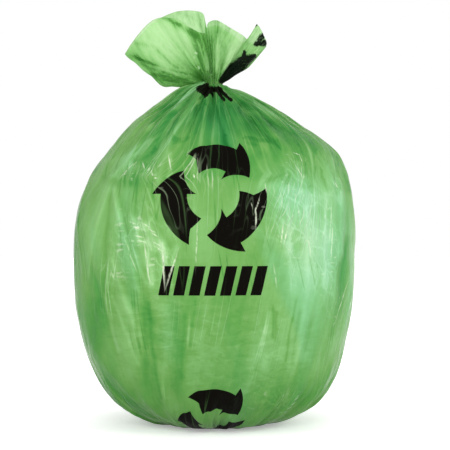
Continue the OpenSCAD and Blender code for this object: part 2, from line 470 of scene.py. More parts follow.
@dataclass(frozen=True)
class FilmFolds:
    """Folds of thin film, finer than those of the solids, in millimetres."""

    shape: BagShape
    seed: int = 31
    # Pleats at the neck: how far they reach and how often, how they widen and bend with the
    # length, and the lengths from the neck over which they rise
    pleats: int = 84
    pleat_height: float = 2.6
    pleat_reaches: tuple = (75, 110, 150, 230, 330)
    pleat_odds: tuple = (0.2, 0.25, 0.25, 0.2, 0.1)
    pleat_width: Pair = (1.6, 3.2)
    pleat_widening: float = 0.016
    pleat_bend: float = 0.012
    pleat_bend_l: float = 300.0
    pleat_rise: Pair = (2, 32)
    pleat_fade: float = 0.35
    pleat_sharpness: float = 1.25
    # Long folds, tilted by some degrees: how far their middles stay from the base and neck
    long_folds: int = 72
    long_fold_height: float = 1.7
    long_fold_length: Pair = (45, 170)
    long_fold_width: Pair = (3.5, 9)
    long_fold_tilt: float = 13.0
    long_fold_sharpness: float = 1.2
    long_fold_fade: float = 4.0
    off_base: float = 130.0
    off_neck: float = 180.0
    # Flat panels: cells round the bag, height and seed of each size
    panels: tuple = ((9, 1.3, 1), (19, 0.6, 2), (37, 0.28, 3))
    panel_drift: float = 0.35
    panel_stretch: float = 1.7
    panel_creases: float = 2.2
    # Folds under the bag, and the lengths from the foot over which they come and go
    base_cells: int = 34
    base_cell_l: float = 240.0
    base_fold_height: float = 3.2
    base_fold_creases: float = 1.6
    base_come: float = 40.0
    base_go: Pair = (90, 210)
    # Random creases at the back, and how far from the sides all creases reach full height
    back_creases: int = 26
    back_right: float = 190.0
    back_up: Pair = (90, 420)
    back_length: Pair = (60, 190)
    back_lean: float = 0.3
    back_width: Pair = (2.5, 5)
    back_height: Pair = (0.8, 2.2)
    off_sides: float = 60.0
    # Creases at the front: right and up at both ends as seen from there, width, height
    front_creases: tuple = (
        (-162, 399, -196, 270, 3, 1.6), (-160, 397, -174, 206, 3.4, -1.8), (-158, 396, -139, 320, 2.6, 1.5),
        (-156, 394, -107, 206, 3.2, 1.7), (-152, 400, -82, 131, 3.6, -1.6), (-165, 405, -120, 452, 3, 1.6),
        (-161, 290, -104, 131, 3, 1.7), (-191, 270, -146, 105, 3.6, -1.8), (-107, 212, -104, 52, 6.5, -2.4),
        (-54, 212, -58, 50, 6.5, -2.4), (-28, 470, -28, 262, 2.2, 1.4), (-84, 330, -58, 214, 2.6, 1.4),
        (-126, 352, -98, 262, 2.6, 1.3), (214, 318, 200, 165, 5.5, -2.6), (112, 378, 124, 205, 3.2, 1.8),
        (142, 384, 150, 220, 3, 1.7), (172, 392, 178, 205, 3.2, 1.8), (196, 398, 205, 270, 2.8, 1.6),
        (139, 204, 122, 106, 2.6, -2.2), (98, 200, 98, 148, 2.4, -1.8), (158, 190, 128, 60, 4.5, -1.5),
        (14, 545, 69, 412, 3.6, 2.4), (22, 545, 118, 438, 3.4, 2), (30, 545, 150, 452, 3.2, -1.8),
        (38, 545, 186, 450, 3, 1.6), (-10, 545, -22, 440, 3.4, 2.2), (-20, 545, -62, 440, 3.2, 1.8),
        (-28, 545, -104, 436, 3, -1.8), (-34, 545, -150, 430, 3, 1.6), (0, 545, 22, 430, 3.4, -2.2),
    )

    def neck_pleats(self, u: Array, s: Array, r: Array) -> Array:
        """Narrow ridges that fan out from the neck and fade at different lengths.

        Args:
            u: Turns round the bag.
            s: Millimetres along the film.
            r: Radius of the body there.

        Returns:
            Distances outwards.
        """
        rng = np.random.default_rng(self.seed)
        from_neck = self.shape.neck_s - s
        out = np.zeros(np.broadcast(u, s).shape)
        for k in range(self.pleats):
            centre = (k + rng.uniform(-0.4, 0.4)) / self.pleats
            reach = rng.choice(self.pleat_reaches, p=self.pleat_odds) * rng.uniform(0.8, 1.2)
            bend = rng.normal(0, self.pleat_bend)
            height = self.pleat_height * rng.uniform(0.3, 1.0) * rng.choice([1, 1, -0.8])
            width = rng.uniform(*self.pleat_width) + self.pleat_widening * from_neck
            place = half_turn(u - centre - bend * from_neck / self.pleat_bend_l) * TAU * r
            fade = smooth(self.pleat_fade * reach, reach, from_neck)
            along = smooth(*self.pleat_rise, from_neck) * (1 - fade)
            out += height * ridge(place, width, self.pleat_sharpness) * along
        return out

    def slack_folds(self, u: Array, s: Array, r: Array) -> Array:
        """Long soft folds down the sides, each tilted a little.

        Args:
            u: Turns round the bag.
            s: Millimetres along the film.
            r: Radius of the body there.

        Returns:
            Distances outwards.
        """
        rng = np.random.default_rng(self.seed + 1)
        out = np.zeros(np.broadcast(u, s).shape)
        for _ in range(self.long_folds):
            centre_u = rng.uniform()
            centre_s = rng.uniform(self.off_base, self.shape.neck_s - self.off_neck)
            tilt = np.radians(rng.normal(0, self.long_fold_tilt))
            length = rng.uniform(*self.long_fold_length)
            width = rng.uniform(*self.long_fold_width)
            height = self.long_fold_height * rng.uniform(0.3, 1) * rng.choice([1, -1])
            x = half_turn(u - centre_u) * TAU * r
            y = s - centre_s
            across = x * np.cos(tilt) + y * np.sin(tilt)
            along = y * np.cos(tilt) - x * np.sin(tilt)
            crest = height * ridge(across, width, self.long_fold_sharpness)
            out += crest * ridge(along, length, self.long_fold_fade)
        return out

    def crumple(self, u: Array, s: Array) -> Array:
        """Flat panels of film with creases between them, in three sizes.

        Args:
            u: Turns round the bag.
            s: Millimetres along the film.

        Returns:
            Distances outwards, from about -1.5 to 1.5.
        """
        out = np.zeros(np.broadcast(u, s).shape)
        for cells, height, step in self.panels:
            x = u * cells
            cell = self.shape.film_round / cells
            drift = self.panel_drift * gradient_noise(x, s / cell, cells, self.seed + 10 + step)
            y = s / (self.panel_stretch * cell)
            noise = gradient_noise(x + drift, y, cells, self.seed + 20 + step)
            out += height * sharp_fold(self.panel_creases * noise + 0.5)
        return out

    def tension(self, place: Array) -> Array:
        """Straight creases where the film is drawn tight over its contents.

        Args:
            place: Points of the plain body in millimetres.

        Returns:
            Distances outwards: listed creases on the front and random ones behind.
        """
        rng = np.random.default_rng(self.seed + 60)
        behind = []
        for _ in range(self.back_creases):
            right = rng.uniform(-self.back_right, self.back_right)
            up = rng.uniform(*self.back_up)
            lean = rng.normal(0, self.back_lean)
            length = rng.uniform(*self.back_length)
            width = rng.uniform(*self.back_width)
            height = rng.uniform(*self.back_height) * rng.choice([1, -1])
            behind.append((right, up, right + lean * length, up - length, width, height))
        x, y, z = np.moveaxis(place, -1, 0)
        front = crease_runs(x, z, self.front_creases) * smooth(0, self.off_sides, -y)
        return front + crease_runs(x, z, behind) * smooth(0, self.off_sides, y)

    def base_folds(self, u: Array, s: Array) -> Array:
        """Short folds where the film turns under the bag.

        Args:
            u: Turns round the bag.
            s: Millimetres along the film.

        Returns:
            Distances outwards.
        """
        foot_r = self.shape.foot_r
        near = smooth(foot_r, foot_r + self.base_come, s)
        near = near * (1 - smooth(foot_r + self.base_go[0], foot_r + self.base_go[1], s))
        cells = self.base_cells
        wave = gradient_noise(u * cells, s / self.base_cell_l, cells, self.seed + 40)
        return self.base_fold_height * near * sharp_fold(self.base_fold_creases * wave + 0.5)


class Ends(Enum):
    """How a grid of rings ends."""

    POLES = "poles"
    LOOP = "loop"


def grid_mesh(name: str, rings: Array, ends: Ends) -> Mesh:
    """Makes a closed mesh from a stack of closed rings.

    Args:
        name: The mesh's name.
        rings: Points as rings, places and coordinates, in millimetres.
        ends: POLES closes the first and last ring with a fan to its mean point, and LOOP
            joins the last ring to the first.

    Returns:
        The mesh, in metres, smooth shaded.
    """
    count, around = rings.shape[:2]
    points = rings.reshape(-1, 3)
    i = np.arange(around)
    k = (i + 1) % around
    last = count if ends is Ends.LOOP else count - 1
    j = np.arange(last)[:, None]
    low = j * around
    high = (j + 1) % count * around
    quads = np.stack(np.broadcast_arrays(low + i, low + k, high + k, high + i), -1).reshape(-1, 4)
    sizes = np.full(len(quads), 4)
    corners = quads.ravel()
    if ends is Ends.POLES:
        poles = np.stack([rings[0].mean(0), rings[-1].mean(0)])
        first = len(points)
        points = np.concatenate([points, poles])
        top = (count - 1) * around
        bottom_fan = np.stack([np.full(around, first), k, i], -1)
        top_fan = np.stack([np.full(around, first + 1), top + i, top + k], -1)
        corners = np.concatenate([corners, bottom_fan.ravel(), top_fan.ravel()])
        sizes = np.concatenate([sizes, np.full(2 * around, 3)])
    mesh = bpy.data.meshes.new(name)
    mesh.vertices.add(len(points))
    mesh.vertices.foreach_set("co", (points * MM).astype(np.float32).ravel())
    mesh.loops.add(len(corners))
    mesh.loops.foreach_set("vertex_index", corners.astype(np.int32))
    mesh.polygons.add(len(sizes))
    starts = np.concatenate([[0], np.cumsum(sizes)[:-1]])
    mesh.polygons.foreach_set("loop_start", starts.astype(np.int32))
    mesh.polygons.foreach_set("use_smooth", np.ones(len(sizes), bool))
    mesh.update(calc_edges=True)
    mesh.validate()
    return mesh


def linked(name: str, data: bpy.types.ID) -> Object:
    """Makes an object and links it to the scene.

    Args:
        name: The object's name.
        data: Its mesh, lamp or camera.

    Returns:
        The object.
    """
    obj = bpy.data.objects.new(name, data)
    bpy.context.collection.objects.link(obj)
    return obj


def add_film_map(mesh: Mesh, x: Array, ahead: Array, s: Array, ends: Ends) -> None:
    """Adds the UV map that the print is laid out in.

    Args:
        mesh: A mesh from grid_mesh.
        x: Millimetres round the film at each place of each ring.
        ahead: Millimetres round the film at the next place, not wrapped.
        s: Millimetres along the film at each place of each ring.
        ends: How the grid ends.
    """
    count = len(x)
    j = np.arange(count if ends is Ends.LOOP else count - 1)
    up = (j + 1) % count
    low, low_next = np.stack([x[j], s[j]], -1), np.stack([ahead[j], s[j]], -1)
    high, high_next = np.stack([x[up], s[up]], -1), np.stack([ahead[up], s[up]], -1)
    corners = np.stack([low, low_next, high_next, high], 2).reshape(-1, 2)
    if ends is Ends.POLES:
        first = np.stack([(low[0] + low_next[0]) / 2, low_next[0], low[0]], 1)
        last = np.stack([(high[-1] + high_next[-1]) / 2, high[-1], high_next[-1]], 1)
        corners = np.concatenate([corners, first.reshape(-1, 2), last.reshape(-1, 2)])
    layer = mesh.uv_layers.new(name="film")
    layer.uv.foreach_set("vector", (corners * MM).astype(np.float32).ravel())


def add_values(mesh: Mesh, values: dict[str, Array], ends: Ends) -> None:
    """Adds numbers and vectors to the points of the mesh.

    Args:
        mesh: A mesh from grid_mesh.
        values: By name, values as rings and places, with three parts each for a vector.
        ends: How the grid ends.
    """
    for name, rings in values.items():
        kind, key = ("FLOAT_VECTOR", "vector") if rings.ndim == 3 else ("FLOAT", "value")
        flat = rings.reshape(-1, *rings.shape[2:])
        if ends is Ends.POLES:
            flat = np.concatenate([flat, rings[0].mean(0)[None], rings[-1].mean(0)[None]])
        layer = mesh.attributes.new(name, kind, "POINT")
        layer.data.foreach_set(key, flat.astype(np.float32).ravel())


def outward(rings: Array) -> Array:
    """Outward directions of a grid of closed rings.

    Args:
        rings: Points as rings, places and coordinates. Places run clockwise seen from above.

    Returns:
        Unit vectors, from the crossed differences along and round the grid.
    """
    round_ = np.roll(rings, -1, 1) - np.roll(rings, 1, 1)
    along = np.gradient(rings, axis=0)
    n = np.cross(along, round_)
    return n / np.maximum(np.linalg.norm(n, axis=-1, keepdims=True), 1e-9)


def front_turns(count: int, crowding: float) -> Array:
    """Places round a ring, closer together at the front.

    Args:
        count: Number of places.
        crowding: Share by which the front's steps are shorter and the back's longer.

    Returns:
        Turns that grow from 0, as v less a sine wave of v that is steepest at the front.
    """
    v = np.arange(count) / count
    return v - crowding / TAU * (np.sin(TAU * (v - 0.25)) + 1)


def spots(points: Array, rows: tuple, depth: float) -> Array:
    """Adds up soft oval spots.

    Args:
        points: Points in millimetres, as rings, places and coordinates.
        rows: Rows of a middle, a spread across and along, a tilt in degrees and an amount.
        depth: Spread from front to back.

    Returns:
        The sum of amounts, each times a bell curve of the distance from its middle.
    """
    out = np.zeros(points.shape[:2])
    for right, back, up, across, along, tilt, amount in rows:
        dx = points[..., 0] - right
        dz = points[..., 2] - up
        a = np.radians(tilt)
        far = ((dx * np.cos(a) + dz * np.sin(a)) / across) ** 2
        far = far + ((dz * np.cos(a) - dx * np.sin(a)) / along) ** 2
        far = far + ((points[..., 1] - back) / depth) ** 2
        out += amount * np.exp(-far)
    return out


def band_tones(x: Array, y: Array, rows: tuple, wander: Array | float = 0.0,
               full: float = 1.0) -> Array:
    """Adds up soft light and dark bands across the picture.

    Args:
        x: Pixels from the picture's left edge.
        y: Pixels from its top edge.
        rows: Rows of both ends, half the width and an amount.
        wander: Pixels by which a band's run wanders.
        full: Half width from which a band wanders in full.

    Returns:
        The sum of amounts, each times a bell curve of the distance from its band.
    """
    out = np.zeros(x.shape)
    for *ends, half, amount in rows:
        loose = wander * min(1, half / full)
        off, _ = off_stroke(x + loose, y - loose, ends)
        out += amount * bell(off, 0, half)
    return out


class Sheet:
    """A material's nodes, with short calls that make and join them."""

    def __init__(self, name: str, tree: bpy.types.NodeTree | None = None) -> None:
        """Starts an empty material, or empties the world's nodes.

        Args:
            name: The material's name.
            tree: The world's nodes, or none for a new material.
        """
        self.material = None
        if tree is None:
            self.material = bpy.data.materials.new(name)
            self.material.use_nodes = True
            tree = self.material.node_tree
        self.tree = tree
        self.tree.nodes.clear()
        kind = "ShaderNodeOutputMaterial" if self.material else "ShaderNodeOutputWorld"
        self.output = self.tree.nodes.new(kind)

    def join(self, socket: Socket, value: object) -> None:
        """Links a socket to another, or sets its value.

        Args:
            socket: The input.
            value: An output socket, a number or a colour.
        """
        if isinstance(value, Socket):
            self.tree.links.new(value, socket)
        else:
            socket.default_value = value

    def node(self, kind: str, inputs: dict[str, object], **settings: object) -> bpy.types.Node:
        """Makes a node.

        Args:
            kind: The node's type, without its first part.
            inputs: Values or sockets by the names of the node's inputs.
            **settings: The node's own settings.

        Returns:
            The node.
        """
        made = self.tree.nodes.new("ShaderNode" + kind)
        for key, value in settings.items():
            setattr(made, key, value)
        for key, value in inputs.items():
            self.join(made.inputs[key], value)
        return made

    def math(self, operation: str, *values: object, clamp: bool = False) -> Socket:
        """Makes a math node.

        Args:
            operation: Its operation, such as ADD.
            *values: Its one, two or three values.
            clamp: Whether the result is kept from 0 to 1.

        Returns:
            The result's socket.
        """
        made = self.tree.nodes.new("ShaderNodeMath")
        made.operation = operation
        made.use_clamp = clamp
        for socket, value in zip(made.inputs, values):
            self.join(socket, value)
        return made.outputs[0]

    def ease(self, value: object, start: float, end: float) -> Socket:
        """Eases a value to a share from 0 at start to 1 at end."""
        made = self.node("MapRange", {"Value": value, "From Min": start, "From Max": end},
                         interpolation_type="SMOOTHSTEP")
        return made.outputs["Result"]

    def attribute(self, name: str, part: str = "Fac") -> Socket:
        """Reads a number, or with Vector a vector, that the mesh has at its points."""
        return self.node("Attribute", {}, attribute_name=name).outputs[part]

    def film_map(self) -> Socket:
        """Reads the UV map that the print is laid out in, in metres."""
        return self.node("UVMap", {}, uv_map="film").outputs["UV"]

    def times(self, total: object, *others: object) -> Socket:
        """Multiplies values.

        Args:
            total: The first value.
            *others: The others.

        Returns:
            The product's socket.
        """
        for other in others:
            total = self.math("MULTIPLY", total, other)
        return total

    def plus(self, total: object, rows: list) -> Socket:
        """Adds sources to a total.

        Args:
            total: The total so far.
            rows: Pairs of a source and the amount that it is multiplied by.

        Returns:
            The new total's socket.
        """
        for source, amount in rows:
            total = self.math("MULTIPLY_ADD", source, amount, total)
        return total

    def centred(self, value: object) -> Socket:
        """Shifts a value that runs from 0 to 1 so that its middle is 0."""
        return self.math("SUBTRACT", value, 0.5)

    def scaled(self, vector: Socket, scale: Triple) -> Socket:
        """Stretches a vector along its axes."""
        return self.node("Mapping", {"Vector": vector, "Scale": scale}).outputs["Vector"]

    def moved(self, place: object, way: object, amount: Triple) -> Socket:
        """Moves coordinates by a share of a vector."""
        made = self.node("VectorMath", {0: way, 1: amount, 2: place}, operation="MULTIPLY_ADD")
        return made.outputs["Vector"]

    def noise(self, vector: Socket, scale: float, detail: float = 2.0,
              rough: float = 0.5, warp: float = 0.0, along: float = 1.0) -> Socket:
        """Noise from 0 to 1.

        Args:
            vector: The coordinates.
            scale: Cells for each metre.
            detail: Finer layers on top.
            rough: Strength of each finer layer.
            warp: How much the noise bends itself.
            along: Factor on the third coordinate, below 1 to draw the cells out that way.

        Returns:
            The noise's socket.
        """
        if along != 1.0:
            vector = self.scaled(vector, (1, 1, along))
        made = self.node("TexNoise", {"Vector": vector, "Scale": scale, "Detail": detail,
                                      "Roughness": rough, "Distortion": warp})
        return made.outputs["Fac"]

    def drift(self, vector: object, scale: float, detail: float) -> Socket:
        """Noise of three parts, each from 0 to 1."""
        made = self.node("TexNoise", {"Vector": vector, "Scale": scale, "Detail": detail})
        return made.outputs["Color"]

    def line(self, place: object, scale: float, along: float, width: float) -> Socket:
        """Thin lines along the film.

        Args:
            place: The film's coordinates.
            scale: Cells for each metre across the lines.
            along: Factor on the third coordinate, as for noise.
            width: How far from that value the noise still counts as a line.

        Returns:
            A socket that is 1 where the noise crosses its middle value, and 0 off the line.
        """
        noise = self.noise(place, scale, detail=1.0, warp=0.2, along=along)
        return self.ease(self.math("ABSOLUTE", self.centred(noise)), width, 0.0)

    def ragged(self, noise: object, gain: float, rim: Pair, fade: float) -> Socket:
        """Ink that folds have broken up, from the amounts of print that the mesh has.

        Args:
            noise: Noise from 0 to 1 that the rims follow.
            gain: How far the noise moves them.
            rim: Amounts over which the ink comes.
            fade: Amount below which it goes again.

        Returns:
            A socket that is 1 in the ink.
        """
        printed = self.attribute("printed")
        amount = self.plus(printed, [(self.centred(noise), gain)])
        return self.times(self.ease(amount, *rim), self.ease(printed, 0.0, fade))

    def bump(self, height: object, strength: float, distance: float) -> Socket:
        """Surface directions bent by a height."""
        made = self.node("Bump", {"Height": height, "Strength": strength, "Distance": distance})
        return made.outputs["Normal"]

    def strokes(self, place: object, rows: list) -> Socket:
        """Tapered strokes on the film.

        Args:
            place: The film's coordinates, in metres.
            rows: Rows of a middle round and along the film, an angle, half the length,
                half the width and an amount.

        Returns:
            A socket with the sum of the amounts, each eased to 0 at its stroke's rim.
        """
        total = 0.0
        for x, y, angle, half_l, half_w, amount in rows:
            local = self.node("Mapping", {
                "Vector": place, "Location": (x, y, 0),
                "Rotation": (0, 0, angle), "Scale": (half_l, half_w, 1),
            }, vector_type="TEXTURE").outputs["Vector"]
            off = self.node("VectorMath", {0: local}, operation="LENGTH").outputs["Value"]
            total = self.math("MULTIPLY_ADD", self.ease(off, 1.0, STROKE_CORE), amount, total)
        return total

    def ramp(self, value: object, stops: tuple) -> Socket:
        """Colours at places from 0 to 1.

        Args:
            value: Where on the ramp.
            stops: Pairs of a place and a colour of three parts.

        Returns:
            The colour's socket.
        """
        made = self.node("ValToRGB", {"Fac": value})
        elements = made.color_ramp.elements
        for _ in range(len(stops) - 2):
            elements.new(0.5)
        for element, (place, colour) in zip(elements, stops):
            element.position = place
            element.color = (*colour, 1)
        return made.outputs["Color"]

    def mix(self, share: object, a: object, b: object, blend: str = "MIX") -> Socket:
        """Mixes two colours.

        Args:
            share: How much of the second shows.
            a: The first colour.
            b: The second colour.
            blend: How they are mixed.

        Returns:
            The colour's socket.
        """
        made = self.node("Mix", {}, data_type="RGBA", blend_type=blend)
        for number, value in ((0, share), (6, a), (7, b)):
            self.join(made.inputs[number], value)
        return made.outputs[2]

    def blend(self, share: object, a: Socket, b: Socket) -> Socket:
        """Mixes two shaders, with share as the second one's part."""
        return self.node("MixShader", {0: share, 1: a, 2: b}).outputs[0]

    def finish(self, shader: Socket) -> Material | None:
        """Joins a shader to the output and returns the material."""
        self.tree.links.new(shader, self.output.inputs["Surface"])
        return self.material


@dataclass(frozen=True)
class Print:
    """Black print along the film: a ring of three arrows over a row of bars, in metres."""

    # Step between prints, how far above the middle between two it repeats, and the lengths
    # along the film of the first symbol's middle and of the print's end
    pitch: float = 0.394
    repeat_shift: float = 0.03
    symbol_s: float = 0.530
    top_s: float = 0.74
    # Arrows: radius and half width of the ring, half width of a head, degrees of a shaft and
    # a head, and where the first starts, in radians
    arrows: int = 3
    ring_r: float = 0.064
    ring_half: float = 0.0225
    head_half: float = 0.038
    shaft_turn: float = 66.0
    head_turn: float = 38.0
    first_turn: float = 0.62
    # Notch at an arrow's start: its radians in the middle, and how fast it closes outwards
    notch: float = 0.14
    notch_slope: float = 6.0
    soft_rim: float = 0.0006
    # Bars: number, how far below the symbol, half the height, step, width and lean
    bars: int = 7
    bars_below: float = 0.133
    bars_half_h: float = 0.0225
    bar_pitch: float = 0.0242
    bar_w: float = 0.0172
    bar_lean: float = 0.22
    ink: Triple = (0.0035, 0.003, 0.002)

    @property
    def bars_half_l(self) -> float:
        """Half the length of the row of bars."""
        return ((self.bars - 1) * self.bar_pitch + self.bar_w) / 2

    def share(self, sheet: Sheet) -> Socket:
        """Where the ink is.

        Args:
            sheet: The material's nodes.

        Returns:
            A socket that is 1 in the ink and 0 beside it.
        """
        parts = sheet.node("SeparateXYZ", {"Vector": sheet.film_map()}).outputs
        x, along = parts["X"], parts["Y"]
        half = self.pitch / 2
        from_symbol = sheet.math("SUBTRACT", along, self.symbol_s)
        y = sheet.math("WRAP", from_symbol, half + self.repeat_shift, self.repeat_shift - half)
        marks = sheet.math("MAXIMUM", self._arrows(sheet, x, y), self._bars(sheet, x, y))
        return sheet.times(marks, sheet.math("LESS_THAN", along, self.top_s))

    def _arrows(self, sheet: Sheet, x: object, y: object) -> Socket:
        """Arc arrows that chase each other clockwise.

        Args:
            sheet: The material's nodes.
            x: Metres to the right of the symbol's middle.
            y: Metres above it.

        Returns:
            A socket that is 1 inside the arrows.
        """
        radius = sheet.math("SQRT", sheet.math("ADD", sheet.times(x, x), sheet.times(y, y)))
        turn = sheet.math("ADD", sheet.math("ARCTAN2", x, y), self.first_turn)
        local = sheet.math("WRAP", turn, TAU / self.arrows, 0.0)
        shaft_end = np.radians(self.shaft_turn)
        head = np.radians(self.head_turn)
        off_ring = sheet.math("ABSOLUTE", sheet.math("SUBTRACT", radius, self.ring_r))
        to_tip = sheet.math("SUBTRACT", shaft_end + head, local)
        head_w = sheet.times(to_tip, self.head_half / head)
        in_shaft = sheet.math("LESS_THAN", local, shaft_end)
        in_head = sheet.math("SUBTRACT", 1.0, in_shaft)
        width = sheet.math("ADD", sheet.times(in_shaft, self.ring_half), sheet.times(in_head, head_w))
        notched = sheet.math("ADD", sheet.times(off_ring, -self.notch_slope), self.notch)
        started = sheet.math("GREATER_THAN", local, notched)
        inside = sheet.ease(sheet.math("SUBTRACT", width, off_ring), 0.0, self.soft_rim)
        return sheet.times(inside, started)

    def _bars(self, sheet: Sheet, x: object, y: object) -> Socket:
        """A row of leaning bars under the arrows.

        Args:
            sheet: The material's nodes.
            x: Metres to the right of the symbol's middle.
            y: Metres above it.

        Returns:
            A socket that is 1 inside the bars.
        """
        off = sheet.math("ADD", y, self.bars_below)
        in_row = sheet.math("LESS_THAN", sheet.math("ABSOLUTE", off), self.bars_half_h)
        leaning = sheet.math("SUBTRACT", x, sheet.times(off, self.bar_lean))
        in_length = sheet.math("LESS_THAN", sheet.math("ABSOLUTE", leaning), self.bars_half_l)
        along = sheet.math("WRAP", sheet.math("ADD", leaning, self.bars_half_l), self.bar_pitch, 0.0)
        in_bar = sheet.math("LESS_THAN", along, self.bar_w)
        return sheet.times(in_row, in_length, in_bar)


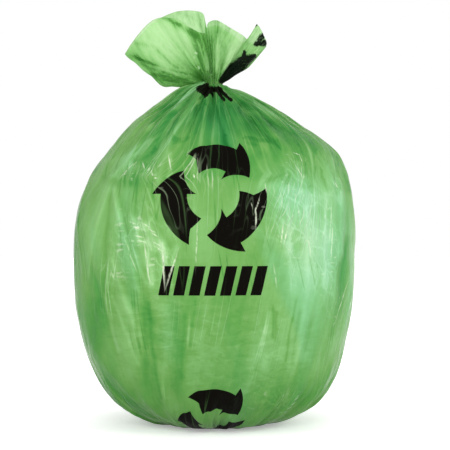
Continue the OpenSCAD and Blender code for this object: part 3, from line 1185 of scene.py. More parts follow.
@dataclass(frozen=True)
class FilledFilmFinish:
    """Green film with what lies behind it: glossy, mottled, creased in thin lines, with painted glints."""

    tones: tuple = (
        (0, (0.02, 0.165, 0.026)), (0.22, (0.048, 0.25, 0.046)), (0.42, (0.1, 0.324, 0.067)),
        (0.56, (0.16, 0.38, 0.095)), (0.76, (0.258, 0.528, 0.19)), (1, (0.46, 0.715, 0.375)),
    )
    cool_tint: Triple = (0.74, 1.02, 1.42)
    # Colour of the painted highlights, the glints painted on the creases
    painted_highlight: Triple = (0.80, 0.88, 0.66)
    roughness: float = 0.2
    ink_dullness: float = 0.3
    ior: float = 1.085
    bump_strength: float = 0.8
    bump_height: float = 0.0011
    # How much each pattern adds to the tone, and how much to the bump's height. In the tone,
    # depth, lines, grooves and fans are painted light and shade, lighter on the folds' ridges and
    # darker in their valleys and grooves, and the flecks are painted glints.
    tone_amounts: tuple = (
        ("patches", 0.42), ("streaks", 0.24), ("boxes", 0.05), ("blots", -0.2), ("depth", 0.07),
        ("lines", 0.19), ("grooves", -0.16), ("fans", 0.22), ("glint_flecks", 0.2), ("waves", 0.4),
        ("crush", 0.16),
    )
    height_amounts: tuple = (
        ("lines", 0.7), ("grooves", -0.6), ("fans", 0.8), ("glint_flecks", 1.3), ("glint_combs", 0.9),
        ("streaks", 0.9), ("waves", 1.4), ("crush", 0.5),
    )
    # Painted highlights, glint strokes: both ends in the photo's pixels, half the width in pixels, amount
    painted_highlights: tuple = (
        (134, 161, 118, 179, 1.7, 0.45), (132, 165, 136, 161, 1.2, 0.6), (141, 160, 144, 169, 1.1, 0.55),
        (150, 170, 152, 175, 1.1, 0.8), (153, 177, 158, 178, 1.1, 0.8), (168, 153, 172, 174, 1.1, 0.7),
        (193, 174.5, 195, 178.5, 1.2, 0.95), (198.5, 152, 197, 188, 0.8, 0.3),
        (207, 162, 209, 192, 0.9, 0.35), (212, 168, 213, 194, 1, 0.35), (130, 221, 138, 225, 1, 0.6),
        (132, 226, 142, 230, 1, 0.6), (143, 223, 151, 228, 1, 0.55), (148, 228, 156, 233, 1, 0.55),
        (151, 232, 158, 237, 1, 0.6), (135, 235, 144, 238, 1, 0.6), (138, 240, 147, 243, 1, 0.55),
        (152, 241, 162, 247, 1, 0.6), (154, 246, 164, 252, 1, 0.5), (144, 238, 151, 289, 1.3, 0.75),
        (162, 240, 165, 294, 1.5, 0.75), (180, 244, 164, 293, 1.3, 0.7), (125, 236, 139, 276, 0.9, 0.4),
        (198, 214, 195.5, 276, 0.9, 0.5), (289, 157, 295, 159, 1.2, 0.85), (294, 157, 299, 172, 0.9, 0.5),
        (290, 167, 300, 182, 0.9, 0.6), (328.5, 183, 333.5, 190, 1.3, 0.9), (259, 197, 254.5, 213, 1, 0.75),
        (255, 206, 256, 231, 1.1, 0.8), (250.5, 203, 252.5, 210, 0.8, 0.5), (263, 184, 265.5, 195, 0.9, 0.5),
        (283, 221, 280.5, 248, 1.3, 0.7), (288, 225, 283, 246, 1.1, 0.7), (327, 200, 330, 252, 1, 0.55),
        (331, 218, 331.5, 266, 1.1, 0.55), (308, 238, 312, 258, 1.6, 0.5), (350.5, 268, 333, 330, 1, 0.5),
        (273, 262, 278, 290, 1.2, 0.4),
    )

    def build(self, ink: Print, shape: BagShape, view: View) -> Material:
        """Makes the material.

        Args:
            ink: The print on the film.
            shape: The bag's sizes.
            view: The view that the painted highlight strokes are placed in.

        Returns:
            The material. Its tone is the contents' shade, with painted light in it, plus the patterns
            in the film, some of which also raise its bump; painted highlights are mixed over it.
        """
        sheet = Sheet("filled_film")
        patterns = self._patterns(sheet)
        rows = [(patterns[name], amount) for name, amount in self.tone_amounts]
        tone = sheet.plus(sheet.attribute("shade"), rows)
        drift = sheet.noise(patterns["right"], scale=11.0, warp=0.4, along=0.4)
        cool = sheet.plus(sheet.attribute("cool"), [(sheet.ease(drift, 0.5, 0.72), 0.35)])
        colour = sheet.mix(cool, sheet.ramp(tone, self.tones), (*self.cool_tint, 1), "MULTIPLY")
        inked = self._inked(sheet, patterns, ink)
        colour = sheet.mix(inked, colour, (*ink.ink, 1))
        # Painted highlights: cream glints mixed into the colour on the creases
        highlight = self._highlight_share(sheet, patterns, self._placed(shape, view))
        shader = sheet.node("BsdfPrincipled", {
            "Base Color": sheet.mix(highlight, colour, (*self.painted_highlight, 1)),
            "Roughness": sheet.math("MULTIPLY_ADD", inked, self.ink_dullness, self.roughness),
            "IOR": self.ior,
            "Normal": self._bumped(sheet, patterns),
        })
        return sheet.finish(shader.outputs["BSDF"])

    def _patterns(self, sheet: Sheet) -> dict[str, Socket]:
        """Lays out what shows in the film.

        Args:
            sheet: The material's nodes.

        Returns:
            By name, the film's coordinates, plain or leaning, where it is crumpled and glints are
            painted, where long lines are, and the patterns: patches, streaks, boxes and blots of the
            contents; the folds' depth, long lines, grooves and lines that fan out at the neck, which paint
            light and shade along the folds; flecks and combs of short lines, which carry painted glints;
            waves; and the creases of crumpled film.
        """
        film, left, right = (sheet.attribute("film_" + way, "Vector") for way in ("place", "left", "right"))
        crinkle_and_glint = sheet.attribute("crinkle_and_glint")
        sparse = sheet.ease(sheet.noise(left, scale=8.0), 0.46, 0.62)
        few = sheet.ease(sheet.noise(right, scale=9.0), 0.5, 0.64)
        boxes = sheet.node("TexVoronoi", {"Vector": sheet.scaled(right, (1, 1, 0.8)), "Scale": 17.0},
                           distance="CHEBYCHEV").outputs["Color"]
        boxes = sheet.node("SeparateColor", {"Color": boxes}).outputs["Red"]
        blots = sheet.noise(left, scale=24.0, detail=3.0, rough=0.6, warp=1.0, along=0.6)
        fans = sheet.math("ADD", sheet.line(film, scale=34.0, along=0.03, width=0.03),
                          sheet.line(left, scale=80.0, along=0.03, width=0.05))
        waves = sheet.scaled(left, (0.38, 0.38, 1.0))
        waves = sheet.noise(waves, scale=92.0, detail=3.0, rough=0.65, warp=0.7)
        glint_combs = sheet.noise(sheet.scaled(right, (0.3, 0.3, 1.0)), scale=150.0, detail=1.0, warp=0.3)
        clusters = sheet.noise(left, scale=42.0, detail=1.0, along=0.35)
        patches = sheet.noise(film, scale=9.0, detail=4.0, rough=0.6, warp=0.7, along=0.7)
        streaks = sheet.noise(left, scale=46.0, detail=3.0, rough=0.6, along=0.07)
        return {
            "film": film, "left": left, "right": right, "crinkle_and_glint": crinkle_and_glint, "sparse": sparse,
            "patches": sheet.centred(patches),
            "streaks": sheet.centred(streaks),
            "boxes": sheet.centred(boxes),
            "blots": sheet.times(sheet.ease(blots, 0.5, 0.68), sheet.attribute("above_fill")),
            "depth": sheet.attribute("fold_shading"),
            "lines": sheet.times(sheet.line(left, scale=38.0, along=0.045, width=0.022), sparse),
            "grooves": sheet.times(sheet.line(right, scale=33.0, along=0.05, width=0.02), few),
            "fans": sheet.times(fans, sheet.attribute("near_neck")),
            # Flecks and combs are painted glints in the crumpled places, and raise the bump there too
            "glint_flecks": sheet.times(sheet.line(left, scale=85.0, along=0.16, width=0.03), crinkle_and_glint),
            "glint_combs": sheet.times(sheet.ease(glint_combs, 0.58, 0.66), sheet.ease(clusters, 0.56, 0.64), crinkle_and_glint),
            "waves": sheet.times(sheet.centred(waves), sheet.attribute("waved")),
            "crush": sheet.times(self._crushed(sheet, right), crinkle_and_glint),
        }

    def _crushed(self, sheet: Sheet, place: object) -> Socket:
        """Thin creases round small flat panels, as crumpled film has them.

        Args:
            sheet: The material's nodes.
            place: The film's coordinates.

        Returns:
            A socket that is 1 on a crease.
        """
        bent = sheet.moved(place, sheet.drift(place, scale=34.0, detail=2.0), (0.03, 0.03, 0.03))
        cells = sheet.node("TexVoronoi", {"Vector": sheet.scaled(bent, (1, 1, 0.5)), "Scale": 52.0},
                           feature="DISTANCE_TO_EDGE")
        return sheet.ease(cells.outputs["Distance"], 0.11, 0.0)

    def _inked(self, sheet: Sheet, patterns: dict, ink: Print) -> Socket:
        """Where ink covers the film.

        Args:
            sheet: The material's nodes.
            patterns: What _patterns gives.
            ink: The print on the film.

        Returns:
            A socket that is 1 in the print and in the ragged patch at the neck, less along the
            flecks and lines, where painted glints and pale lines cross the print.
        """
        broken = sheet.noise(patterns["film"], scale=260.0, detail=3.0, rough=0.65, along=0.22)
        broken = sheet.ragged(broken, gain=2.4, rim=(0.44, 0.54), fade=0.2)
        inked = sheet.math("MAXIMUM", ink.share(sheet), broken)
        # Ink gives way along the flecks and lines, so the painted glints cross the print
        crossed = sheet.times(patterns["lines"], 0.12)
        crossed = sheet.math("MULTIPLY_ADD", patterns["glint_flecks"], 0.6, crossed, clamp=True)
        return sheet.times(inked, sheet.math("SUBTRACT", 1.0, crossed))

    def _highlight_share(self, sheet: Sheet, patterns: dict, strokes: list) -> Socket:
        """Where painted highlights lie on the creases.

        Args:
            sheet: The material's nodes.
            patterns: What _patterns gives.
            strokes: The painted highlight strokes, as Sheet.strokes takes them.

        Returns:
            A socket with the painted highlights of the flecks, the combs and the strokes, which
            wander a little and are broken up by a grain.
        """
        place = sheet.film_map()
        wander = sheet.node("VectorMath", {0: sheet.drift(place, scale=55.0, detail=3.0), 1: (0.5, 0.5, 0.5)},
                            operation="SUBTRACT").outputs["Vector"]
        painted_highlights = sheet.strokes(sheet.moved(place, wander, (0.003, 0.003, 0)), strokes)
        grain = sheet.noise(patterns["right"], scale=210.0, rough=0.6, along=0.5)
        highlight = sheet.times(patterns["glint_flecks"], patterns["sparse"], 0.5)
        highlight = sheet.plus(highlight, [(patterns["glint_combs"], 0.6)])
        return sheet.math("MULTIPLY_ADD", painted_highlights, sheet.ease(grain, 0.3, 0.55), highlight, clamp=True)

    def _bumped(self, sheet: Sheet, patterns: dict) -> Socket:
        """Bends the surface over facets, small crinkles and the patterns' heights.

        Args:
            sheet: The material's nodes.
            patterns: What _patterns gives.

        Returns:
            A socket with the surface's directions.
        """
        facets = sheet.noise(patterns["left"], scale=34.0, detail=3.0, rough=0.6, warp=0.7, along=0.4)
        facets = sheet.math("ABSOLUTE", sheet.centred(facets))
        small = sheet.noise(patterns["right"], scale=110.0, rough=0.6, warp=0.9, along=0.6)
        small = sheet.times(small, sheet.math("MULTIPLY_ADD", patterns["crinkle_and_glint"], 1.1, 0.25))
        rows = [(patterns[name], amount) for name, amount in self.height_amounts]
        height = sheet.plus(small, [(facets, 3.0), *rows])
        return sheet.bump(height, self.bump_strength, self.bump_height)

    def _placed(self, shape: BagShape, view: View) -> list:
        """Lays the painted highlight strokes, which are seen in the photo's view, on the film.

        Args:
            shape: The bag's sizes.
            view: The photo's view.

        Returns:
            Rows as Sheet.strokes takes them.
        """
        out = []
        for x0, y0, x1, y1, half, amount in self.painted_highlights:
            start, end = view.on_film(shape, x0, y0), view.on_film(shape, x1, y1)
            way = end - start
            middle = (start + end) / 2
            angle = np.arctan2(way[1], way[0])
            half_w = half * view.mm_per_px * MM
            out.append((middle[0], middle[1], angle, np.hypot(*way) / 2 + half_w, half_w, amount))
        return out


@dataclass(frozen=True)
class FreeFilmFinish:
    """Thin green film that light passes through, darker where layers lie on each other."""

    tones: tuple = (
        (0, (0.07, 0.25, 0.05)), (0.3, (0.22, 0.48, 0.16)), (0.55, (0.49, 0.77, 0.39)),
        (0.85, (0.74, 0.93, 0.64)),
    )
    tints: tuple = ((0, (0.46, 0.72, 0.38)), (0.3, (0.68, 0.87, 0.6)), (0.6, (0.85, 0.95, 0.79)))
    ink: Triple = (0.002, 0.010, 0.0015)
    # Colour of the painted glints, bright specks on the free film
    painted_glint: Triple = (0.95, 1.0, 0.9)
    roughness: float = 0.25
    ior: float = 1.2
    glow_share: float = 0.45
    clear_share: float = 0.55
    bump_strength: float = 0.7
    bump_height: float = 0.0014

    def build(self) -> Material:
        """Makes the material: part clear and tinted, part lit from either side, under a gloss."""
        sheet = Sheet("free_film")
        film = sheet.attribute("film_place", "Vector")
        streaks = sheet.noise(film, scale=28.0, detail=4.0, rough=0.65, along=0.07)
        patches = sheet.noise(film, scale=22.0, detail=4.0, rough=0.65, warp=0.8)
        fine = sheet.noise(film, scale=130.0, detail=3.0, rough=0.7)
        pleats = sheet.line(film, scale=26.0, along=0.06, width=0.035)
        pleats = sheet.times(pleats, sheet.ease(sheet.noise(film, scale=12.0), 0.42, 0.58))
        # Painted light and shade: raised creases lighter, sunk creases and the pleat lines darker
        tone = sheet.plus(sheet.attribute("shade"), [
            (sheet.centred(streaks), 0.7), (sheet.centred(patches), 0.55), (pleats, -0.08),
            (sheet.attribute("wrinkle_shading"), 0.13), (sheet.centred(fine), 0.4),
        ])
        tint = sheet.ramp(tone, self.tints)
        # Painted glints: bright specks mixed into the colour
        colour = sheet.mix(sheet.attribute("painted_glint"), sheet.ramp(tone, self.tones), (*self.painted_glint, 1))
        broken = sheet.noise(film, scale=330.0, detail=4.0, rough=0.75, along=0.6)
        inked = sheet.ragged(broken, gain=2.6, rim=(0.42, 0.56), fade=0.3)
        colour = sheet.mix(inked, colour, (*self.ink, 1))
        crinkle = sheet.noise(film, scale=90.0, detail=3.0, rough=0.6, warp=0.6, along=0.3)
        height = sheet.plus(crinkle, [(streaks, 1.4), (pleats, -0.8)])
        bump = sheet.bump(height, self.bump_strength, self.bump_height)
        gloss = sheet.node("BsdfPrincipled", {
            "Base Color": colour, "Roughness": self.roughness, "IOR": self.ior, "Normal": bump,
        }).outputs["BSDF"]
        glow = sheet.node("BsdfTranslucent", {"Color": colour, "Normal": bump}).outputs["BSDF"]
        clear = sheet.node("BsdfTransparent", {"Color": tint}).outputs["BSDF"]
        body = sheet.blend(self.glow_share, gloss, glow)
        see_through = sheet.times(sheet.math("SUBTRACT", 1.0, inked), self.clear_share)
        return sheet.finish(sheet.blend(see_through, body, clear))


@dataclass(frozen=True)
class BandFinish:
    """Plain elastic strand in the film's green."""

    colour: Triple = (0.08, 0.26, 0.08)
    # Colour of the ribbing's grooves: painted shade, darker where the bump is low
    groove_shade: Triple = (0.03, 0.13, 0.035)
    roughness: float = 0.5
    bump_strength: float = 0.3
    bump_height: float = 0.0003

    def build(self) -> Material:
        """Makes the material, with a fine ribbing along the strand and painted shade in its grooves."""
        sheet = Sheet("band_elastic")
        place = sheet.node("TexCoord", {}).outputs["Object"]
        grain = sheet.noise(place, scale=700.0, along=6)
        shader = sheet.node("BsdfPrincipled", {
            "Base Color": sheet.mix(grain, (*self.groove_shade, 1), (*self.colour, 1)),
            "Roughness": self.roughness,
            "Normal": sheet.bump(grain, self.bump_strength, self.bump_height),
        })
        return sheet.finish(shader.outputs["BSDF"])


@dataclass
class FilledBody:
    """The film round the contents, from the middle of the base to the neck."""

    shape: BagShape
    folds: FilmFolds
    view: View
    around: int = 456
    rings: int = 206
    crowding: float = 0.3
    foot_rings: int = 5
    # First and last ring under the foot, as shares of its radius
    foot_reach: Pair = (0.15, 0.9)
    # Lengths from the neck, and from the foot, over which the slack folds come in
    neck_calm: Pair = (5, 90)
    base_calm: float = 70.0
    # Height of the contents, how much lower they lie at the right, and the waves of their
    # upper line: waves round the bag, height, start
    fill_z: float = 402.0
    slump: float = 36.0
    slump_right: Pair = (90, 225)
    fill_waves: tuple = ((2, 9, 1), (5, 7, 0))
    fill_rim: Pair = (-6, 9)
    # Film that bulges beside the tie, and the cosines to left and front over which it comes
    lip_h: float = 7.0
    lip_drop: float = 12.0
    lip_spread: float = 7.0
    lip_left: Pair = (-0.3, 0.6)
    lip_front: Pair = (0, 0.8)
    lip_front_share: float = 0.9
    # How much narrower the print's map gets towards the neck, over lengths up to the neck
    map_narrowing: float = 0.55
    map_narrow_s: Pair = (-120, -10)
    # How the fine lines wave and lean, in turns, and where the ones to the right start
    line_wave: float = 0.012
    line_wave_l: float = 130.0
    lean_left: float = 0.00009
    lean_right: float = 0.00011
    right_start: float = 2000.0
    # Lengths up to the neck over which the fan of lines and the gathers' shade come
    fan_s: Pair = (-250, -110)
    gather_s: Pair = (-230, -40)
    gather_depth: float = 1.2
    # Plain tone, how much darker it is above the contents, and the spots' front-to-back spread
    tone: float = 0.56
    empty_tone: float = 0.1
    spot_depth: float = 110.0
    # How far the bands wander in pixels, and the half width from which they do so in full
    band_wander: float = 5.0
    band_cells: int = 40
    band_cell_l: float = 36.0
    band_full: float = 6.0
    # Taut points: right, front or back, and up, with the spread of their fans
    taut_points: tuple = ((-150, -1, 405, 75, 130), (150, -1, 410, 60, 110), (60, 1, 420, 90, 130))
    fan_start: float = 25.0
    fan_share: float = 0.9
    fan_fade: float = 80.0
    # Shades, cool spots, crumpled places and faint waves: a middle right, front-to-back and
    # up, spread across and along, tilt in degrees, amount. Shades and cool spots are partly
    # painted light: the right side lighter, with a pale patch of painted reflection there, and
    # the left rim darker. The crumpled places also carry painted glints.
    shades: tuple = (
        (-12, -110, 512, 70, 62, 0, -0.22), (-108, -150, 482, 52, 26, 32, -0.11),
        (55, -140, 498, 55, 34, -32, -0.15), (40, -215, 440, 22, 50, 20, -0.09),
        (160, -165, 290, 58, 92, 0, 0.31), (118, -185, 392, 38, 36, 0, 0.15),
        (190, -120, 415, 30, 46, 0, 0.13), (110, -130, 482, 44, 26, -32, -0.05),
        (-118, -150, 462, 66, 36, 32, 0.34), (-190, -120, 330, 50, 80, 0, 0.05),
        (120, -170, 130, 60, 50, 0, 0.12), (176, -140, 400, 46, 40, -30, 0.13),
        (-212, -60, 130, 26, 90, -14, -0.05), (-140, -160, 130, 44, 52, 0, 0.11),
        (-226, -30, 273, 14, 110, 0, -0.16), (-148, -175, 322, 48, 66, 0, 0.1),
        (-198, -110, 156, 24, 66, -12, -0.13), (0, -230, 348, 58, 38, 0, 0.05),
        (143, -150, 56, 68, 30, 0, -0.07), (-157, -130, 56, 52, 26, 0, -0.05),
        (224, -40, 262, 12, 80, -4, 0.08), (-60, 200, 380, 90, 80, 20, -0.12),
        (110, 190, 260, 70, 90, 0, 0.16), (-190, 120, 300, 60, 90, 0, 0.12),
        (60, 200, 480, 80, 50, 0, -0.12),
    )
    cools: tuple = (
        (8, -120, 500, 36, 76, 0, 0.6), (190, -150, 270, 60, 110, 0, 0.5), (120, -190, 380, 50, 50, 0, 0.55),
        (60, -210, 100, 80, 60, 0, 0.15), (-90, 210, 300, 110, 130, 0, 0.5),
    )
    crinkles: tuple = (
        (-120, -180, 418, 34, 12, 8, 0.9), (-36, -215, 422, 10, 20, 0, 0.9),
        (-110, -200, 330, 34, 26, 20, 0.8), (-76, -215, 270, 22, 36, 0, 0.8),
        (-150, -170, 270, 18, 60, -14, 0.5), (130, -175, 420, 18, 22, 0, 0.8),
        (196, -110, 396, 10, 12, 0, 0.9), (150, -170, 320, 48, 60, 0, 0.55),
        (190, -130, 240, 30, 70, 0, 0.4), (110, -190, 350, 40, 60, 0, 0.45), (104, -150, 52, 40, 26, 0, 0.7),
        (-60, -210, 400, 60, 34, 0, 0.35), (120, 190, 380, 60, 50, 0, 0.7), (-120, 190, 240, 60, 70, 0, 0.6),
    )
    waves: tuple = (
        (-60, -215, 170, 120, 100, 0, 1), (90, -190, 130, 90, 70, 0, 0.7), (80, -170, 76, 50, 30, 0, 0.5),
        (-130, -160, 270, 60, 80, 0, 0.4), (120, -180, 300, 60, 70, 0, 0.4), (0, 220, 210, 190, 120, 0, 0.9),
    )
    # Soft light and dark bands: both ends in the photo's pixels, half the width, amount. Many
    # are painted light and shade: pale washes round the painted glints, dark lines along creases
    # and fold valleys, and light and dark along the pleats below the neck. The rest are blotches
    # of the contents.
    bands: tuple = (
        (94, 306, 108, 368, 9, -0.07), (150, 318, 156, 410, 5, -0.05), (185, 312, 182, 378, 2.2, -0.1),
        (149, 303, 152, 350, 1.4, -0.12), (152, 350, 161, 398, 1.8, -0.13), (132, 302, 141, 345, 1.3, -0.1),
        (196, 300, 190, 345, 1.4, -0.09), (104, 296, 118, 352, 1.5, 0.1), (112, 296, 139, 366, 1.5, 0.1),
        (132, 222, 142, 228, 4, 0.16), (147, 226, 160, 240, 5, 0.18), (138, 238, 150, 244, 4, 0.14),
        (150, 240, 164, 254, 5, 0.16), (148, 252, 151, 284, 3, 0.22), (162, 244, 165, 286, 3.2, 0.24),
        (177, 248, 167, 284, 2.6, 0.2), (131, 247, 146, 284, 1.6, 0.12), (119, 177, 131, 165, 3, 0.12),
        (150, 171, 158, 178, 4, 0.1), (169, 155, 171, 174, 2.6, 0.14), (283, 222, 286, 250, 5, 0.08),
        (125, 151, 145, 135, 5.5, -0.17), (146, 163, 155, 139, 5.5, -0.17), (158, 133, 170, 114, 5.5, -0.16),
        (171, 143, 181, 125, 6.5, -0.1), (196, 127, 214, 110, 8, -0.1), (225, 155, 232, 106, 6, -0.08),
        (240, 110, 265, 126, 7, -0.15), (245, 126, 257, 154, 8, -0.17), (260, 124, 274, 154, 8, -0.13),
        (282, 132, 324, 176, 12, -0.1), (273, 306, 273, 337, 1.2, -0.15), (296.5, 299, 292.5, 322, 1, -0.12),
        (292, 318, 285.5, 361, 1.1, -0.13), (108, 378, 138, 408, 9, -0.08), (347, 240, 334, 330, 4.5, -0.1),
        (104, 388, 142, 414, 8, -0.12), (300, 402, 330, 372, 8, -0.08), (205, 98, 200, 112, 4, -0.08),
        (209, 93, 200, 150, 2.2, 0.12), (214, 93, 215, 150, 2.6, 0.14), (219, 96, 226, 150, 1.8, -0.12),
        (172, 93, 118, 139, 5.5, 0.09), (176, 94, 197, 84, 3.2, -0.1), (120, 136, 98, 172, 4, 0.08),
        (166, 316, 166, 358, 13, 0.07), (124, 296, 146, 350, 5, 0.09), (301, 312, 297, 360, 7, 0.07),
        (265, 335, 266, 365, 5, 0.07), (310, 225, 300, 300, 18, 0.07), (197, 320, 200, 372, 9, 0.04),
        (232, 296, 236, 372, 12, -0.05),
    )
    # Print in the neck: both ends and half the width at each in the photo's pixels, amount
    neck_print: tuple = (
        (198.5, 89, 207, 85, 2.2, 2.2, 1), (200, 89, 206, 94, 3.6, 2.6, 1), (204, 89, 210, 91, 3.4, 3, 1),
        (209, 89, 220, 90, 3.2, 2.8, 0.9), (212, 92, 213, 97, 1.4, 0.8, 0.8),
        (218, 88, 231, 100, 1.7, 1.6, 1), (217, 91, 224, 100, 1.7, 1.4, 0.85),
        (205.5, 94, 205, 97.5, 1.6, 0.9, 0.9),
    )

    def film_grid(self) -> tuple[Array, Array]:
        """Turns round and millimetres along the film for each place of each ring."""
        s = np.linspace(self.shape.foot_r, self.shape.neck_s, self.rings)[:, None]
        return front_turns(self.around, self.crowding)[None], s

    def build(self) -> Object:
        """Makes the closed skin of the filled body.

        Returns:
            The object. The skin is the solid's surface plus the finer folds, flat on the
            floor under the foot, and closed inside the neck.
        """
        shape = self.shape
        u, s = self.film_grid()
        body, sharp = self._skin(u, s)
        shares = np.linspace(*self.foot_reach, self.foot_rings)[:, None]
        foot = body[:1] * shares[..., None]
        neck = body[-1:] * [1, 1, 0] + [0, 0, shape.neck_z]
        inside = np.concatenate([neck, neck * [0.5, 0.5, 1]])
        rings = np.concatenate([foot, body, inside])[:, ::-1]
        neck_s = np.full((len(inside), 1), shape.neck_s + shape.neck_z - shape.neck_bottom)
        all_s = np.concatenate([shares * shape.foot_r, s, neck_s]) + 0 * u
        depth = np.pad(sharp[:, ::-1], ((len(foot), len(inside)), (0, 0)))
        mesh = grid_mesh("bag_body", rings, Ends.POLES)
        self._dress(mesh, rings, all_s, depth)
        return linked("bag_body", mesh)

    def _skin(self, u: Array, s: Array) -> tuple[Array, Array]:
        """Works out the film from the foot's edge to the neck.

        Args:
            u: Turns round the bag.
            s: Millimetres along the film.

        Returns:
            Points as rings, and the heights of the sharp pleats and creases there.
        """
        shape, folds = self.shape, self.folds
        w = shape.film_to_share(s)
        r, z = shape.profile(w)
        n_r, n_z = shape.profile_normal(w)
        c, sn = np.cos(-TAU * u), np.sin(-TAU * u)
        plain = np.stack(np.broadcast_arrays(r * c, r * sn, z), -1)
        pleats = folds.neck_pleats(u, s, r)
        tight = folds.tension(plain)
        off_neck = smooth(*self.neck_calm, shape.neck_s - s)
        off_base = smooth(shape.foot_r, shape.foot_r + self.base_calm, s)
        crumple = folds.crumple(u, s) * off_neck * off_base
        slack = (folds.slack_folds(u, s, r) + crumple) * off_neck * off_base
        stand = shape.standoff(u, w) + (pleats + slack + folds.base_folds(u, s) + tight)
        radius = r + n_r * stand
        beside = smooth(*self.lip_left, -c) + self.lip_front_share * smooth(*self.lip_front, -sn)
        lip = self.lip_h * np.minimum(beside, 1) * bell(s, shape.neck_s - self.lip_drop, self.lip_spread)
        height = np.maximum(z + n_z * stand + lip, 0)
        body = np.stack(np.broadcast_arrays(radius * c, radius * sn, height), -1)
        body[0, :, 2] = 0
        return body, pleats + tight

    def _fan_shift(self, rings: Array, u: Array) -> Array:
        """Bends the run of the fine lines so that they fan out below each taut point.

        Args:
            rings: Points in millimetres.
            u: Turns round the bag.

        Returns:
            Turns to add. Near a taut point the lines follow equal slopes from that point.
        """
        out = np.zeros(u.shape)
        for right, side, up, across, along in self.taut_points:
            off = rings[..., 0] - right
            below = np.maximum(up - rings[..., 2], 0) + self.fan_start
            offset = off / below * (self.fan_share * along) - off
            near = bell(rings[..., 0], right, across) * bell(rings[..., 2], up - along, along)
            near = near * smooth(0, self.fan_fade, side * rings[..., 1])
            out += side * offset / self.shape.film_round * near
        return out

    def _above_fill(self, rings: Array, u: Array) -> Array:
        """Where the bag is empty.

        Args:
            rings: Points in millimetres.
            u: Turns round the bag.

        Returns:
            Shares from 0 in the contents to 1 above their uneven upper line.
        """
        line = self.fill_z
        for waves, height, start in self.fill_waves:
            line = line + height * np.sin(TAU * waves * u + start)
        line = line - self.slump * smooth(*self.slump_right, rings[..., 0])
        return smooth(*self.fill_rim, rings[..., 2] - line)

    def _shade(self, rings: Array, u: Array, s: Array, above: Array) -> Array:
        """Tone of what lies behind the film, with painted light and shade in its spots and bands.

        Args:
            rings: Points in millimetres.
            u: Turns round the bag.
            s: Millimetres along the film.
            above: Shares from 0 in the contents to 1 above them.

        Returns:
            The plain tone with its spots, and in front the bands, whose run wanders.
        """
        cells = self.band_cells
        seed = self.folds.seed + 70
        wander = self.band_wander * gradient_noise(u * cells, s / self.band_cell_l, cells, seed)
        bands = band_tones(*self.view.pixels(rings), self.bands, wander, self.band_full)
        tone = self.tone - self.empty_tone * above + spots(rings, self.shades, self.spot_depth)
        return tone + bands * (rings[..., 1] < 0)

    def _dress(self, mesh: Mesh, rings: Array, s: Array, depth: Array) -> None:
        """Adds the film's coordinates, the folds' depth for painted shade, and the contents' shade
        with painted light in it.

        Args:
            mesh: The skin.
            rings: Its points in millimetres.
            s: Millimetres along the film at each of them.
            depth: Heights of the sharp pleats and creases there.
        """
        shape = self.shape
        u = np.broadcast_to(front_turns(self.around, self.crowding)[None, ::-1], s.shape)
        to_neck = s - shape.neck_s
        narrow = self.map_narrowing * smooth(*self.map_narrow_s, to_neck)
        spread = shape.film_round * (1 - narrow)
        x = half_turn(0.25 - u)
        ahead = x + half_turn(u - np.roll(u, -1, 1))
        add_film_map(mesh, x * spread, ahead * spread, s, Ends.POLES)
        slow = self.line_wave * np.sin(TAU * 3 * u + s / self.line_wave_l)
        leaning_left = u + self.lean_left * s + slow + self._fan_shift(rings, u)
        leaning_right = u - self.lean_right * s - slow
        gather = (shape.fold(u, shape.gathers) - 0.5) * smooth(*self.gather_s, to_neck)
        above = self._above_fill(rings, u)
        printed = stroke_shares(*self.view.pixels(rings), self.neck_print)
        values = {
            "film_place": shape.tube(u + slow, s),
            "film_left": shape.tube(leaning_left, s),
            "film_right": shape.tube(leaning_right, s + self.right_start),
            # Painted shade: fold heights and gathers, darker in valleys and lighter on ridges
            "fold_shading": depth + self.gather_depth * gather,
            "above_fill": above,
            "near_neck": smooth(*self.fan_s, to_neck),
            "shade": self._shade(rings, u, s, above),
            "printed": printed * (rings[..., 1] < 0),
        }
        for name, rows in (("cool", self.cools), ("crinkle_and_glint", self.crinkles), ("waved", self.waves)):
            values[name] = np.clip(spots(rings, rows, self.spot_depth), 0, 1)
        add_values(mesh, values, Ends.POLES)


